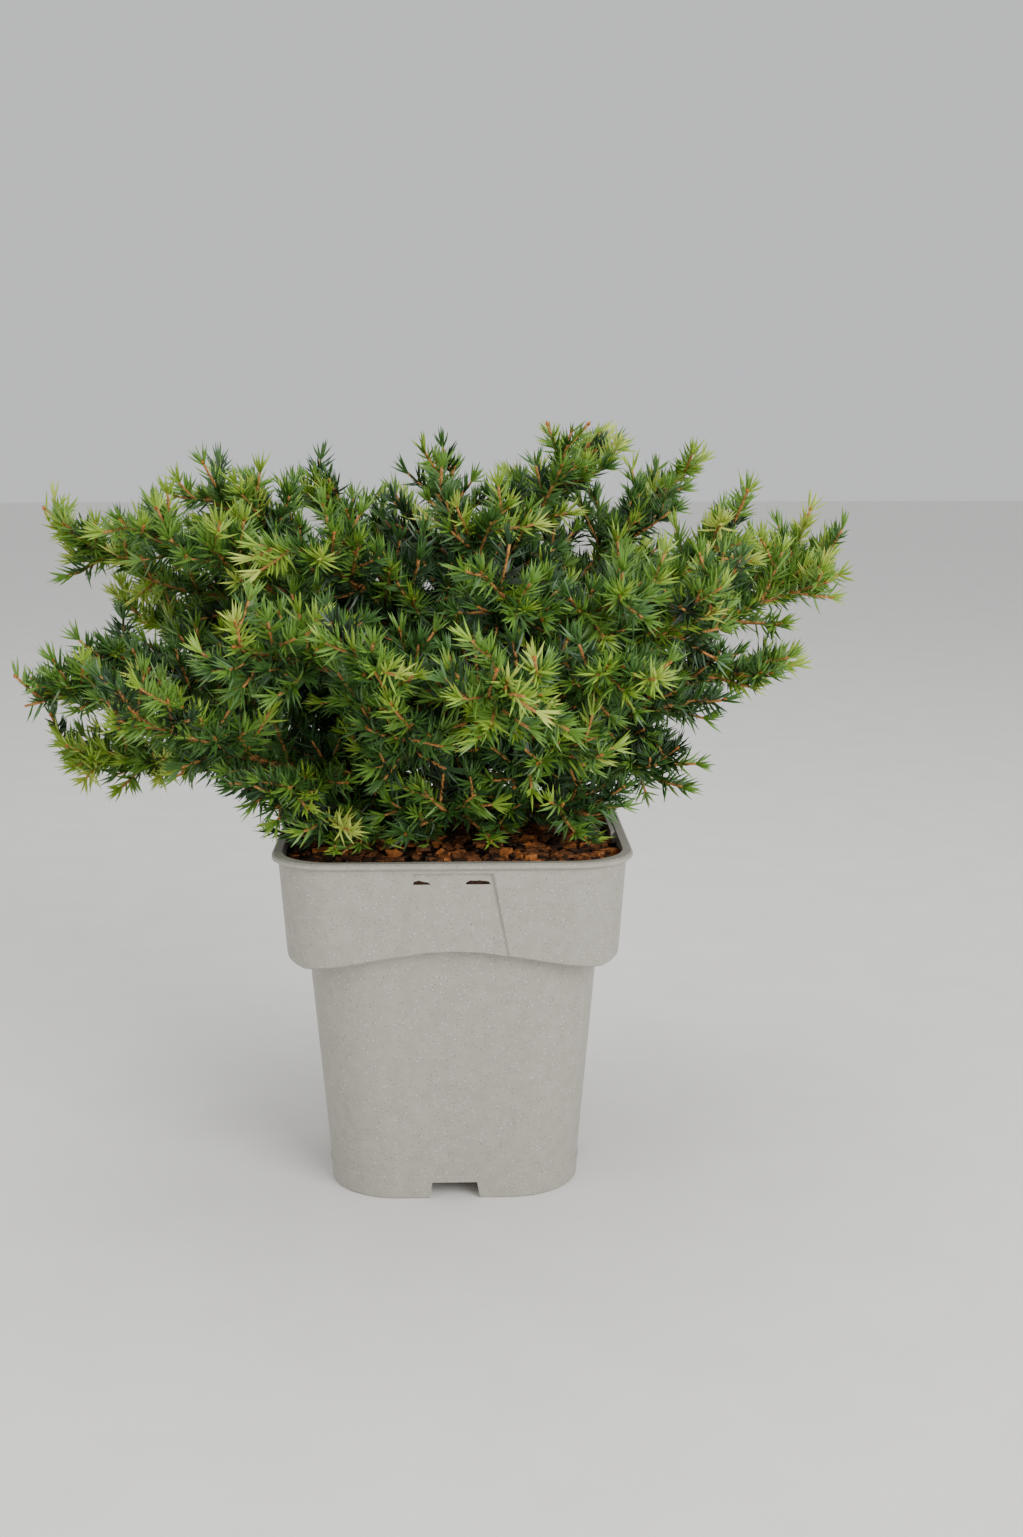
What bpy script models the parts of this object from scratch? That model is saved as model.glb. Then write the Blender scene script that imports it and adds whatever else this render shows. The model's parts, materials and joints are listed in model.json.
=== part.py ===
"""A birds nest spruce in its square nursery pot: the pot, its potting soil, a short leaning trunk,
the boughs, and the sprays of needled shoots that the boughs end in.

Metres, +Z up. The origin is the middle of the pot's underside, and the plant's front faces -Y.
"""

import math
import random

import bmesh
import bpy
import numpy as np
from mathutils import Vector

MM = 0.001
PLANT = "birds_nest_spruce"
GAP = 0.3 * MM  # clear distance between neighbouring solids

# Pot: a square container of about two litres, with a wide collar round its upper part
RIM_HALF = 70 * MM
POT_HEIGHT = 142.5 * MM
WALL = 1.4 * MM
LIP_RADIUS = 22.7 * MM
LIP_DROP = 2.7 * MM
COLLAR_TOP_HALF = 67.7 * MM
COLLAR_FOOT_HALF = 65.3 * MM
COLLAR_RADIUS = 24 * MM
COLLAR_FOOT = 98.4 * MM
BODY_TOP_HALF = 58.1 * MM
BODY_TOP_RADIUS = 29 * MM
BASE_HALF = 50.4 * MM
BASE_RADIUS = 33.5 * MM
BAND_HEIGHT = 9.6 * MM
BAND_STEP = 0.4 * MM
SKIRT_RISE = 6 * MM  # the collar's lower edge climbs from each corner to the panel
SKIRT_START = 58 * MM
ARCH_RISE = 2.3 * MM  # and arches on under the panel
PANEL_TOP = 138.2 * MM
PANEL_TOP_HALF = 15.5 * MM
PANEL_FOOT_HALF = 22.1 * MM
PANEL_DEPTH = 1.4 * MM
PANEL_DRAFT = 1.2 * MM
CHANNEL_HALF = 10.4 * MM
CHANNEL_TOP_HALF = 8.9 * MM
CHANNEL_HEIGHT = 7 * MM
DRAIN_RADIUS = 4.5 * MM
DRAIN_PLACE = 24 * MM
CORNER_STEPS = 4

# Potting soil
SOIL_EDGE = 138.4 * MM
SOIL_SEAT = 143.3 * MM  # height of the soil where the trunk stands
SEAT_RADIUS = 13 * MM
LUMP = (50 * MM, 44 * MM, 4 * MM)  # x, y and height of the lump in the right back corner
LUMP_SPREAD = 16 * MM

# Trunk
TRUNK_FOOT = SOIL_SEAT + GAP
TRUNK_TOP = 226 * MM
TRUNK_LEAN = (16 * MM, 5 * MM)
TRUNK_RADIUS = 6.6 * MM
TRUNK_TOP_RADIUS = 2.9 * MM
FLARE = 0.55
FLARE_HEIGHT = 6 * MM
FLARE_RIDGES = 5
RIDGE_SHARE = 0.35
TRUNK_SIDES = 10
TRUNK_SLOPE = 0.25  # the most that the trunk leans, as a slope

# Limbs: azimuth in degrees anticlockwise from +X, then reach, height of the tip and height of the foot in mm
BOUGH_LIMBS = {
    "left_low": (181, 155, 172, 186),
    "left_far_low": (193, 161, 203, 184),
    "left_shadow": (158, 144, 221, 190),
    "left_far_high": (174, 157, 258, 196),
    "left_high": (197, 121, 264, 202),
    "left_front_low": (217, 144, 202, 181),
    "left_front_mid": (232, 123, 228, 190),
    "front_left": (256, 122, 221, 188),
    "front": (277, 144, 220, 184),
    "right_mid": (354, 126, 211, 180),
    "right_far_low": (2, 152, 244, 197),
    "right_far_high": (13, 161, 253, 205),
    "back_right": (50, 148, 240, 192),
    "back": (94, 143, 252, 200),
    "back_left": (131, 145, 244, 196),
}
TRUNK_LIMBS = {
    "left_mid": (184, 136, 217, 188),
    "left_top": (172, 102, 277, 221),
    "left_top_inner": (140, 76, 272, 219),
    "left_front_under": (222, 94, 174, 175),
    "left_front_top": (226, 80, 260, 214),
    "front_low": (259, 104, 197, 176),
    "front_high": (283, 92, 245, 208),
    "front_right_mid": (299, 123, 222, 188),
    "front_right_high": (303, 111, 246, 206),
    "front_right_low": (296, 92, 189, 174),
    "right_front": (323, 121, 238, 198),
    "right_front_low": (330, 98, 200, 180),
    "right_top": (341, 112, 260, 207),
    "right_low": (346, 88, 171, 178),
    "right_back_top": (32, 110, 277, 209),
    "leader": (17, 62, 300, 226),
    "top_centre": (292, 30, 267, 218),
    "top_left": (98, 34, 272, 219),
    "back_right_low": (68, 138, 203, 181),
    "back_left_low": (113, 140, 206, 182),
    "back_low": (90, 100, 178, 172),
    "low_front_left": (228, 72, 157, 161),
    "low_front": (268, 60, 160, 158),
    "low_front_right": (317, 72, 157, 160),
    "low_back_right": (38, 72, 158, 163),
    "low_back_left": (142, 70, 160, 162),
}
LIMB_SAG = 0.05  # how far a limb hangs under its chord, as a share of its reach
LIMB_SAMPLES = 25
FOOT_STEP = 1 * MM
FOOT_TRIES = 90
FOOT_ROOM = 5 * MM  # nearest that a limb's foot comes to the trunk's ends
FOOT_SEARCH = 0.001  # step of the search for a limb's start along its curve
SEAT_PLAY = 0.06 * MM  # allowance for the trunk's lean, which is measured level
BOUGH_RADIUS = 2.4 * MM
BOUGH_POINTS = 5
BOUGH_SIDES = 12  # corners by which a bough's end is held clear of the trunk
TWIG_RADIUS = 1.7 * MM
TIP_RADIUS = 0.9 * MM
BOUGH_SHARE = 0.34  # the part of a long limb that is bare bough
BARE_SHARE = 0.34  # the part of a short limb's stem that has no needles

# Needled shoots
SHOOT_EVERY = 22 * MM
SHOOT_LONG = 38 * MM
SHOOT_SHORT = 17 * MM
SHOOT_LEAST = 13 * MM
SHOOT_ANGLES = (56, 38)  # degrees off the stem, near its foot and near its tip
CORE_RADIUS = 1.8 * MM
CORE_PITCH = 7.2 * MM
CORE_TWIST = math.radians(75)
NEEDLE_LENGTH = 11 * MM
TIP_NEEDLE = 7 * MM
NEEDLE_LEAN = math.radians(48)
NEEDLE_MARGIN = 0.7 * MM
CORE_MARGIN = 2.4 * MM
STEM_SIDES = 3

BARK = (0.30, 0.15, 0.07)
POT_GREY = (0.34, 0.32, 0.28)
SOIL_BROWN = (0.05, 0.028, 0.014)
NEEDLE_SHADE = (0.035, 0.085, 0.035)
NEEDLE_SUN = (0.17, 0.27, 0.045)


def clear_scene():
    for item in list(bpy.data.objects):
        bpy.data.objects.remove(item, do_unlink=True)


def new_collection(name):
    made = bpy.data.collections.new(name)
    bpy.context.scene.collection.children.link(made)
    return made


def new_material(name, colour, roughness):
    made = bpy.data.materials.new(name)
    made.use_nodes = True
    made.diffuse_color = (*colour, 1)
    shader = made.node_tree.nodes["Principled BSDF"]
    shader.inputs["Base Color"].default_value = (*colour, 1)
    shader.inputs["Roughness"].default_value = roughness
    shader.inputs["Metallic"].default_value = 0
    return made


def object_from(bm, name, collection, material=None):
    """A bmesh as a new object, its faces turned outwards."""
    bmesh.ops.recalc_face_normals(bm, faces=bm.faces)
    mesh = bpy.data.meshes.new(name)
    bm.to_mesh(mesh)
    bm.free()
    made = bpy.data.objects.new(name, mesh)
    collection.objects.link(made)
    if material:
        mesh.materials.append(material)
    return made


def hide_cutter(item):
    item.hide_render = True
    item.display_type = "WIRE"
    return item


def boolean(target, cutter, operation="DIFFERENCE"):
    modifier = target.modifiers.new(f"{operation.lower()} {cutter.name}", "BOOLEAN")
    modifier.operation = operation
    modifier.object = cutter
    modifier.solver = "EXACT"


def loft(bm, rings):
    """Joins closed rings of equally many points, one to the next, and caps both ends."""
    made = [[bm.verts.new(point) for point in ring] for ring in rings]
    for lower, upper in zip(made, made[1:]):
        for k in range(len(lower)):
            nxt = (k + 1) % len(lower)
            bm.faces.new((lower[k], lower[nxt], upper[nxt], upper[k]))
    bm.faces.new(made[0])
    bm.faces.new(made[-1])
    return made


def ease(value):
    value = min(max(value, 0.0), 1.0)
    return value * value * (3 - 2 * value)


def mix(first, last, share):
    return first + (last - first) * share


# The pot


def skirt(x, y):
    """How far the collar's lower edge has climbed above its height at the corners."""
    along = min(abs(x), abs(y))
    if along >= PANEL_FOOT_HALF:
        share = (SKIRT_START - along) / (SKIRT_START - PANEL_FOOT_HALF)
        return SKIRT_RISE * min(max(share, 0), 1)
    return SKIRT_RISE + ARCH_RISE * (1 - (along / PANEL_FOOT_HALF) ** 2)


def square_ring(half, radius, height, climbs=False):
    """A square outline with round corners. Where it climbs, it follows the collar's lower edge."""
    stops = [PANEL_FOOT_HALF * share for share in (-1, -0.5, 0, 0.5, 1)]
    side = [(half, stop) for stop in stops if abs(stop) < half - radius]
    middle = half - radius
    for k in range(CORNER_STEPS + 1):
        turn = math.radians(90) * k / CORNER_STEPS
        side.append((middle + radius * math.cos(turn), middle + radius * math.sin(turn)))
    ring = []
    for quarter in range(4):
        c, s = round(math.cos(math.pi / 2 * quarter)), round(math.sin(math.pi / 2 * quarter))
        for x, y in side:
            rise = skirt(x, y) if climbs else 0
            ring.append((c * x - s * y, s * x + c * y, height + rise))
    return ring


def full_ring(half, radius, height, climbs=False):
    """A square ring whose count of points is the same at every size."""
    limit = half - PANEL_FOOT_HALF - 0.1 * MM
    return square_ring(half, min(radius, limit), height, climbs)


def pot_outside():
    return [
        full_ring(BASE_HALF - 0.6 * MM, BASE_RADIUS, 0),
        full_ring(BASE_HALF, BASE_RADIUS, 0.7 * MM),
        full_ring(BASE_HALF + 0.7 * MM, BASE_RADIUS, BAND_HEIGHT - BAND_STEP),
        full_ring(BASE_HALF + 0.7 * MM - BAND_STEP, BASE_RADIUS, BAND_HEIGHT),
        full_ring(BODY_TOP_HALF, BODY_TOP_RADIUS, COLLAR_FOOT + 0.5 * MM, True),
        full_ring(COLLAR_FOOT_HALF - 0.7 * MM, COLLAR_RADIUS, COLLAR_FOOT, True),
        full_ring(COLLAR_FOOT_HALF, COLLAR_RADIUS, COLLAR_FOOT + 0.7 * MM, True),
        full_ring(COLLAR_TOP_HALF, LIP_RADIUS, POT_HEIGHT - LIP_DROP - 0.6 * MM),
        full_ring(RIM_HALF, LIP_RADIUS, POT_HEIGHT - LIP_DROP + 0.8 * MM),
        full_ring(RIM_HALF, LIP_RADIUS, POT_HEIGHT - 0.6 * MM),
        full_ring(RIM_HALF - 0.7 * MM, LIP_RADIUS, POT_HEIGHT),
    ]


def pot_inside(gap):
    """The rings of the pot's hollow, or of what fills it at a gap from its walls, up to the collar's step."""
    inset = WALL + gap
    step = COLLAR_FOOT + 0.5 * MM + WALL
    return [
        full_ring(BASE_HALF - inset, BASE_RADIUS - inset, WALL + gap),
        full_ring(BODY_TOP_HALF - inset, BODY_TOP_RADIUS - inset, step + gap, True),
        full_ring(COLLAR_FOOT_HALF - inset, COLLAR_RADIUS - inset, step + 0.2 * MM + gap, True),
    ]


def wedge(name, collection, sections):
    """A block between rectangles, each given as (height, half width, nearest, furthest) beside the -Y wall."""
    bm = bmesh.new()
    rings = []
    for height, half, near, far in sections:
        rings.append([(-half, near, height), (half, near, height), (half, far, height), (-half, far, height)])
    loft(bm, rings)
    return hide_cutter(object_from(bm, name, collection))


def around(item, count=4):
    """The item and its copies turned about the Z axis, sharing its mesh."""
    made = [item]
    for k in range(1, count):
        copy = item.copy()
        copy.rotation_euler.z = math.tau * k / count
        for collection in item.users_collection:
            collection.objects.link(copy)
        made.append(copy)
    return made


def panel_width(height):
    share = (PANEL_TOP - height) / (PANEL_TOP - COLLAR_FOOT - SKIRT_RISE)
    return mix(PANEL_TOP_HALF, PANEL_FOOT_HALF, share)


def collar_face(height):
    share = (height - COLLAR_FOOT) / (POT_HEIGHT - LIP_DROP - COLLAR_FOOT)
    return mix(COLLAR_FOOT_HALF, COLLAR_TOP_HALF, share)


def panel_cutters(cutters):
    """The shallow recess in each side of the collar, its side walls drafted."""
    bm = bmesh.new()
    low = COLLAR_FOOT + 2 * MM
    rings = []
    for depth, draft in ((-1 * MM, 0), (0, 0), (PANEL_DEPTH, PANEL_DRAFT)):
        ring = []
        for height, side in ((low, -1), (low, 1), (PANEL_TOP, 1), (PANEL_TOP, -1)):
            half = panel_width(height) - draft
            rise = height - (0.4 * draft if height == PANEL_TOP else 0)
            ring.append((side * half, depth - collar_face(height), rise))
        rings.append(ring)
    loft(bm, rings)
    return around(hide_cutter(object_from(bm, "panel recess", cutters)))


def panel_backs(cutters, name, gap):
    """The blocks that the wall bulges in by behind each recess, which the hollow leaves out."""
    low = COLLAR_FOOT + SKIRT_RISE - 2 * MM
    high = POT_HEIGHT - 0.4 * MM + gap
    sections = []
    for height in (low, high):
        face = -collar_face(height)
        sections.append((height, panel_width(height) + gap, face - 1 * MM, face + 3.6 * MM + gap))
    return around(wedge(name, cutters, sections))


def channel_bars(cutters, name, extra):
    """The two crossing drain channels under the pot, or, made larger by extra, the ridges over them."""
    long = BASE_HALF + 5 * MM
    bm = bmesh.new()
    rings = []
    for height, half in ((-1 * MM, CHANNEL_HALF), (CHANNEL_HEIGHT, CHANNEL_TOP_HALF)):
        half += extra
        top = height + extra if height > 0 else height
        rings.append([(-half, -long, top), (half, -long, top), (half, long, top), (-half, long, top)])
    loft(bm, rings)
    first = hide_cutter(object_from(bm, name, cutters))
    second = first.copy()
    second.rotation_euler.z = math.radians(90)
    cutters.objects.link(second)
    return [first, second]


def drain_holes(cutters):
    bm = bmesh.new()
    bmesh.ops.create_cone(
        bm, cap_ends=True, segments=12, radius1=DRAIN_RADIUS, radius2=DRAIN_RADIUS, depth=8 * MM
    )
    bmesh.ops.translate(bm, verts=bm.verts, vec=(DRAIN_PLACE, 0, CHANNEL_HEIGHT))
    return around(hide_cutter(object_from(bm, "drain hole", cutters)))


def make_pot(parts, cutters):
    bm = bmesh.new()
    loft(bm, pot_outside())
    pot = object_from(bm, "pot", parts, new_material("grey plastic", POT_GREY, 0.55))
    bm = bmesh.new()
    top = [
        full_ring(COLLAR_TOP_HALF - WALL, LIP_RADIUS - WALL, POT_HEIGHT - 1 * MM),
        full_ring(COLLAR_TOP_HALF - WALL, LIP_RADIUS - WALL, POT_HEIGHT + 2 * MM),
    ]
    loft(bm, pot_inside(0) + top)
    hollow = hide_cutter(object_from(bm, "hollow", cutters))
    for block in panel_backs(cutters, "panel back", 0) + channel_bars(cutters, "floor ridge", WALL):
        boolean(hollow, block)
    boolean(pot, hollow)
    for cutter in panel_cutters(cutters) + channel_bars(cutters, "drain channel", 0) + drain_holes(cutters):
        boolean(pot, cutter)
    return pot


# The potting soil


def soil_height(x, y):
    """A low mound, flat where the trunk stands, with a lump in one corner."""
    away = max(abs(x), abs(y), 0.8 * math.hypot(x, y))
    share = (away - SEAT_RADIUS) / (COLLAR_TOP_HALF - WALL - SEAT_RADIUS)
    lump = LUMP[2] * math.exp(-((x - LUMP[0]) ** 2 + (y - LUMP[1]) ** 2) / LUMP_SPREAD**2)
    return mix(SOIL_SEAT, SOIL_EDGE, ease(share)) + lump * ease(share * 2)


def make_soil(parts, cutters):
    walls = pot_inside(GAP)
    half = collar_face(SOIL_EDGE) - WALL - GAP
    outline = full_ring(half, LIP_RADIUS - WALL, 0)
    rings = []
    for share in (1, 0.78, 0.56, 0.36, 0.17):
        ring = [(x * share, y * share, soil_height(x * share, y * share)) for x, y, _ in outline]
        rings.append(ring)
    bm = bmesh.new()
    loft(bm, walls + rings)
    soil = object_from(bm, "potting_soil", parts, new_material("potting soil", SOIL_BROWN, 0.95))
    bars = channel_bars(cutters, "soil over ridge", WALL + GAP)
    for block in panel_backs(cutters, "soil by panel back", GAP) + bars:
        boolean(soil, block)
    return soil


# The trunk and the limbs


def trunk_axis(height):
    """The middle of the trunk at a height: it leans more and more to the right."""
    share = (height - TRUNK_FOOT) / (TRUNK_TOP - TRUNK_FOOT)
    lean = max(share, 0) ** 1.4
    return np.array([TRUNK_LEAN[0] * lean, TRUNK_LEAN[1] * lean, height])


def trunk_radius(height):
    share = (height - TRUNK_FOOT) / (TRUNK_TOP - TRUNK_FOOT)
    return mix(TRUNK_RADIUS, TRUNK_TOP_RADIUS, min(max(share, 0), 1))


def root_flare(height):
    """How much wider than its even taper the trunk is, as a share: most at the soil."""
    return FLARE * math.exp(-(height - TRUNK_FOOT) / FLARE_HEIGHT)


def make_trunk(parts):
    bm = bmesh.new()
    rings = []
    for share in (0, 0.02, 0.05, 0.1, 0.18, 0.35, 0.6, 0.82, 1):
        height = mix(TRUNK_FOOT, TRUNK_TOP, share)
        middle = trunk_axis(height)
        ring = []
        for k in range(TRUNK_SIDES):
            turn = math.tau * k / TRUNK_SIDES
            ridge = 1 + root_flare(height) * (1 + RIDGE_SHARE * math.cos(FLARE_RIDGES * turn))
            reach = trunk_radius(height) * ridge
            ring.append((middle[0] + reach * math.cos(turn), middle[1] + reach * math.sin(turn), height))
        rings.append(ring)
    loft(bm, rings)
    return object_from(bm, "trunk", parts, new_material("old bark", BARK, 0.9))


def trunk_room(points):
    """How far points lie outside the trunk's bark, measured level."""
    axis = np.array([trunk_axis(height) for height in points[:, 2]])
    widest = 1 + RIDGE_SHARE
    bark = np.array([trunk_radius(height) * (1 + root_flare(height) * widest) for height in points[:, 2]])
    return np.linalg.norm((points - axis)[:, :2], axis=1) - bark


def end_ring(foot, bend, tip, step, radius, sides):
    """The corners of a limb's flat end, where it starts at this step of its curve."""
    middle = (1 - step) ** 2 * foot + 2 * step * (1 - step) * bend + step**2 * tip
    along = (1 - step) * (bend - foot) + step * (tip - bend)
    along /= np.linalg.norm(along)
    side = np.cross(along, [0, 0, 1])
    side /= np.linalg.norm(side)
    up = np.cross(side, along)
    turns = np.arange(sides)[:, None] * math.tau / sides
    return middle + radius * (side * np.cos(turns) + up * np.sin(turns))


def limb_path(azimuth, reach, tip_height, foot_height, radius, sides):
    """Points from just clear of the trunk's bark to the limb's tip, along an upturned curve."""
    turn = math.radians(azimuth)
    out = np.array([math.cos(turn), math.sin(turn), 0])
    foot = trunk_axis(foot_height)
    tip = out * reach + np.array([0, 0, tip_height])
    bend = mix(foot, tip, 0.5) - np.array([0, 0, LIMB_SAG * reach])
    start = 0
    if foot_height >= TRUNK_TOP:
        along = trunk_axis(TRUNK_TOP) - trunk_axis(TRUNK_TOP - 5 * MM)
        along /= np.linalg.norm(along)
        foot = foot + along * (GAP + radius * TRUNK_SLOPE)
        bend = foot + along * np.linalg.norm(tip - foot) * 0.45
    else:
        while trunk_room(end_ring(foot, bend, tip, start, radius, sides)).min() < GAP + SEAT_PLAY:
            start += FOOT_SEARCH
    steps = np.linspace(start, 1, LIMB_SAMPLES)[:, None]
    return (1 - steps) ** 2 * foot + 2 * steps * (1 - steps) * bend + steps**2 * tip


def segment_distance(points, starts, ends):
    """The distance from each point (rows) to each segment (columns)."""
    along = ends - starts
    size = np.maximum((along * along).sum(axis=1), 1e-18)
    offset = points[:, None, :] - starts[None]
    share = np.clip((offset * along[None]).sum(axis=2) / size, 0, 1)
    return np.linalg.norm(offset - share[..., None] * along[None], axis=2)


def foot_heights(name, foot):
    """The limb's own foot height, then others further and further up and down the trunk."""
    if name == "leader":
        return [foot]
    shifts = [FOOT_STEP * ((k + 1) // 2) * (-1) ** k for k in range(FOOT_TRIES)]
    heights = [foot + shift for shift in shifts]
    return [height for height in heights if TRUNK_FOOT + FOOT_ROOM < height < TRUNK_TOP - FOOT_ROOM]


def place_limbs():
    """Every limb's path, its foot moved up or down the trunk until the limb is clear of those before it."""
    placed = {}
    starts, ends, thick = np.empty((0, 3)), np.empty((0, 3)), np.empty(0)
    for name, (azimuth, reach, tip, foot) in (TRUNK_LIMBS | BOUGH_LIMBS).items():
        radius, sides = (BOUGH_RADIUS, BOUGH_SIDES) if name in BOUGH_LIMBS else (TWIG_RADIUS, STEM_SIDES)
        for height in foot_heights(name, foot * MM):
            path = limb_path(azimuth, reach * MM, tip * MM, height, radius, sides)
            if not placed:
                break
            room = segment_distance(path, starts, ends) - thick[None] - radius
            if room.min() > 2 * GAP:
                break
        else:
            raise ValueError(f"no clear foot for {name}")
        placed[name] = path
        starts = np.vstack([starts, path[:-1]])
        ends = np.vstack([ends, path[1:]])
        thick = np.concatenate([thick, np.full(len(path) - 1, radius)])
    return placed


def path_lengths(path):
    return np.concatenate([[0], np.cumsum(np.linalg.norm(np.diff(path, axis=0), axis=1))])


def path_at(path, distance):
    lengths = path_lengths(path)
    return np.array([np.interp(distance, lengths, path[:, k]) for k in range(3)]).T


def limb_radius(name, share):
    """A limb tapers evenly from its foot to its tip."""
    return mix(BOUGH_RADIUS if name in BOUGH_LIMBS else TWIG_RADIUS, TIP_RADIUS, share)


def make_bough(name, path, parts, material):
    """The bare part of a long limb: a tapering curve with flat ends."""
    total = path_lengths(path)[-1]
    end = total * BOUGH_SHARE
    curve = bpy.data.curves.new(f"{name}_bough", "CURVE")
    curve.dimensions = "3D"
    curve.fill_mode = "FULL"
    curve.bevel_depth = 1 * MM
    curve.bevel_resolution = 1
    curve.use_fill_caps = True
    spline = curve.splines.new("POLY")
    spline.points.add(BOUGH_POINTS - 1)
    for k in range(BOUGH_POINTS):
        distance = end * k / (BOUGH_POINTS - 1)
        spline.points[k].co = (*path_at(path, distance), 1)
        spline.points[k].radius = limb_radius(name, distance / total) / MM
    curve.materials.append(material)
    bough = bpy.data.objects.new(f"{name}_bough", curve)
    parts.objects.link(bough)
    return bough


# The masses of needled shoots


class Room:
    """Says which places belong to a mass: those nearer to its own stem than to any other, clear of every
    limb, the soil and the pot."""

    def __init__(self, paths):
        stems, limbs = [], []
        for name, path in paths.items():
            total = path_lengths(path)[-1]
            split = total * (BOUGH_SHARE if name in BOUGH_LIMBS else BARE_SHARE)
            stem = path_at(path, np.linspace(split, total, 7))
            stems += [(name, a, b) for a, b in zip(stem, stem[1:])]
            bare = path_at(path, np.linspace(0, split, 6))
            limbs += [(name, a, b) for a, b in zip(bare, bare[1:])]
        self.stem_owner = np.array([row[0] for row in stems])
        self.stem_start, self.stem_end = (np.array([row[k] for row in stems]) for k in (1, 2))
        heights = np.linspace(TRUNK_FOOT, TRUNK_TOP, 6)
        trunk = [trunk_axis(height) for height in heights]
        limbs += [("trunk", a, b) for a, b in zip(trunk, trunk[1:])]
        self.limb_start, self.limb_end = (np.array([row[k] for row in limbs]) for k in (1, 2))
        self.limb_radius = np.array([TRUNK_RADIUS if row[0] == "trunk" else BOUGH_RADIUS for row in limbs])

    def holds(self, name, points, margin):
        """True where a point belongs to the named mass, with this margin."""
        points = np.atleast_2d(points)
        to_stems = segment_distance(points, self.stem_start, self.stem_end)
        own = to_stems[:, self.stem_owner == name].min(axis=1)
        other = to_stems[:, self.stem_owner != name].min(axis=1)
        to_limbs = (segment_distance(points, self.limb_start, self.limb_end) - self.limb_radius).min(axis=1)
        free = (own + 2 * margin < other) & (to_limbs > margin)
        return free & (points[:, 2] > self.floor(points) + margin)

    @staticmethod
    def floor(points):
        """The soil inside the pot's outline, the top of its rim near the wall, and nothing outside."""
        beside = np.abs(points[:, :2]).max(axis=1)
        low = np.where(beside < RIM_HALF + 1 * MM, POT_HEIGHT + 0.5 * MM, -1)
        soil = np.array([soil_height(x, y) for x, y, _ in points])
        return np.maximum(low, np.where(beside < RIM_HALF, soil + 0.6 * MM, -1))


def frame_along(path):
    """For each point of a path, its direction and the two directions square to it."""
    along = np.gradient(path, axis=0)
    along /= np.linalg.norm(along, axis=1)[:, None]
    side = np.cross(along, [0, 0, 1])
    side /= np.maximum(np.linalg.norm(side, axis=1), 1e-9)[:, None]
    return along, side, np.cross(side, along)


def shoot_path(root, direction, length):
    """A shoot leaves at its angle and turns up a little towards its tip."""
    steps = np.linspace(0, 1, 8)[:, None]
    lift = np.array([0, 0, 0.12 * length])
    return root + direction * length * steps + lift * steps**2


def side_shoots(name, stem):
    """Paths of the side shoots along a stem, left and right by turns, longest near its foot."""
    total = path_lengths(stem)[-1]
    count = max(2, round(total / SHOOT_EVERY))
    shoots = []
    for k in range(count):
        rng = random.Random(f"{name} shoot {k}")
        share = (k + 0.45) / (count + 0.3)
        here = path_at(stem, np.array([share * total - 1 * MM, share * total, share * total + 1 * MM]))
        along, side, up = (axis[1] for axis in frame_along(here))
        roll = math.radians((0 if k % 2 else 180) + rng.uniform(-38, 38))
        angle = math.radians(mix(*SHOOT_ANGLES, share) + rng.uniform(-6, 6))
        out = side * math.cos(roll) + up * math.sin(roll)
        direction = along * math.cos(angle) + out * math.sin(angle)
        length = mix(SHOOT_LONG, SHOOT_SHORT, share) * rng.uniform(0.85, 1.15)
        shoots.append(shoot_path(here[1], direction, length))
    return shoots


def fitted(name, path, room):
    """The shoot's path, shortened until all of it belongs to the mass, or None where too little would be left."""
    beyond = path_at(path, np.linspace(7 * MM, path_lengths(path)[-1], 10))
    held = room.holds(name, beyond, CORE_MARGIN)
    if held.all():
        return path
    first = int(np.argmin(held))
    length = path_lengths(beyond)[max(first - 1, 0)] + 7 * MM
    if length < SHOOT_LEAST:
        return None
    return path_at(path, np.linspace(0, length, 8))


def core_rings(path, pitch, bare):
    """Three-sided rings along a shoot, each turned on from the last, and where its needles start."""
    total = path_lengths(path)[-1]
    count = max(3, round(total / pitch))
    places = np.linspace(0, total, count + 1)
    points = path_at(path, places)
    along, side, up = frame_along(points)
    rings = []
    for k, place in enumerate(places):
        share = place / total
        radius = CORE_RADIUS * (0.55 + 0.45 * ease(share * 6)) * (1 - 0.6 * ease((share - 0.8) * 5))
        if place < bare:
            radius = TWIG_RADIUS * 0.9
        corners = [CORE_TWIST * k + math.tau * corner / STEM_SIDES for corner in range(STEM_SIDES)]
        rings.append([points[k] + radius * (side[k] * math.cos(a) + up[k] * math.sin(a)) for a in corners])
    return rings, points, along, places


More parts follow.
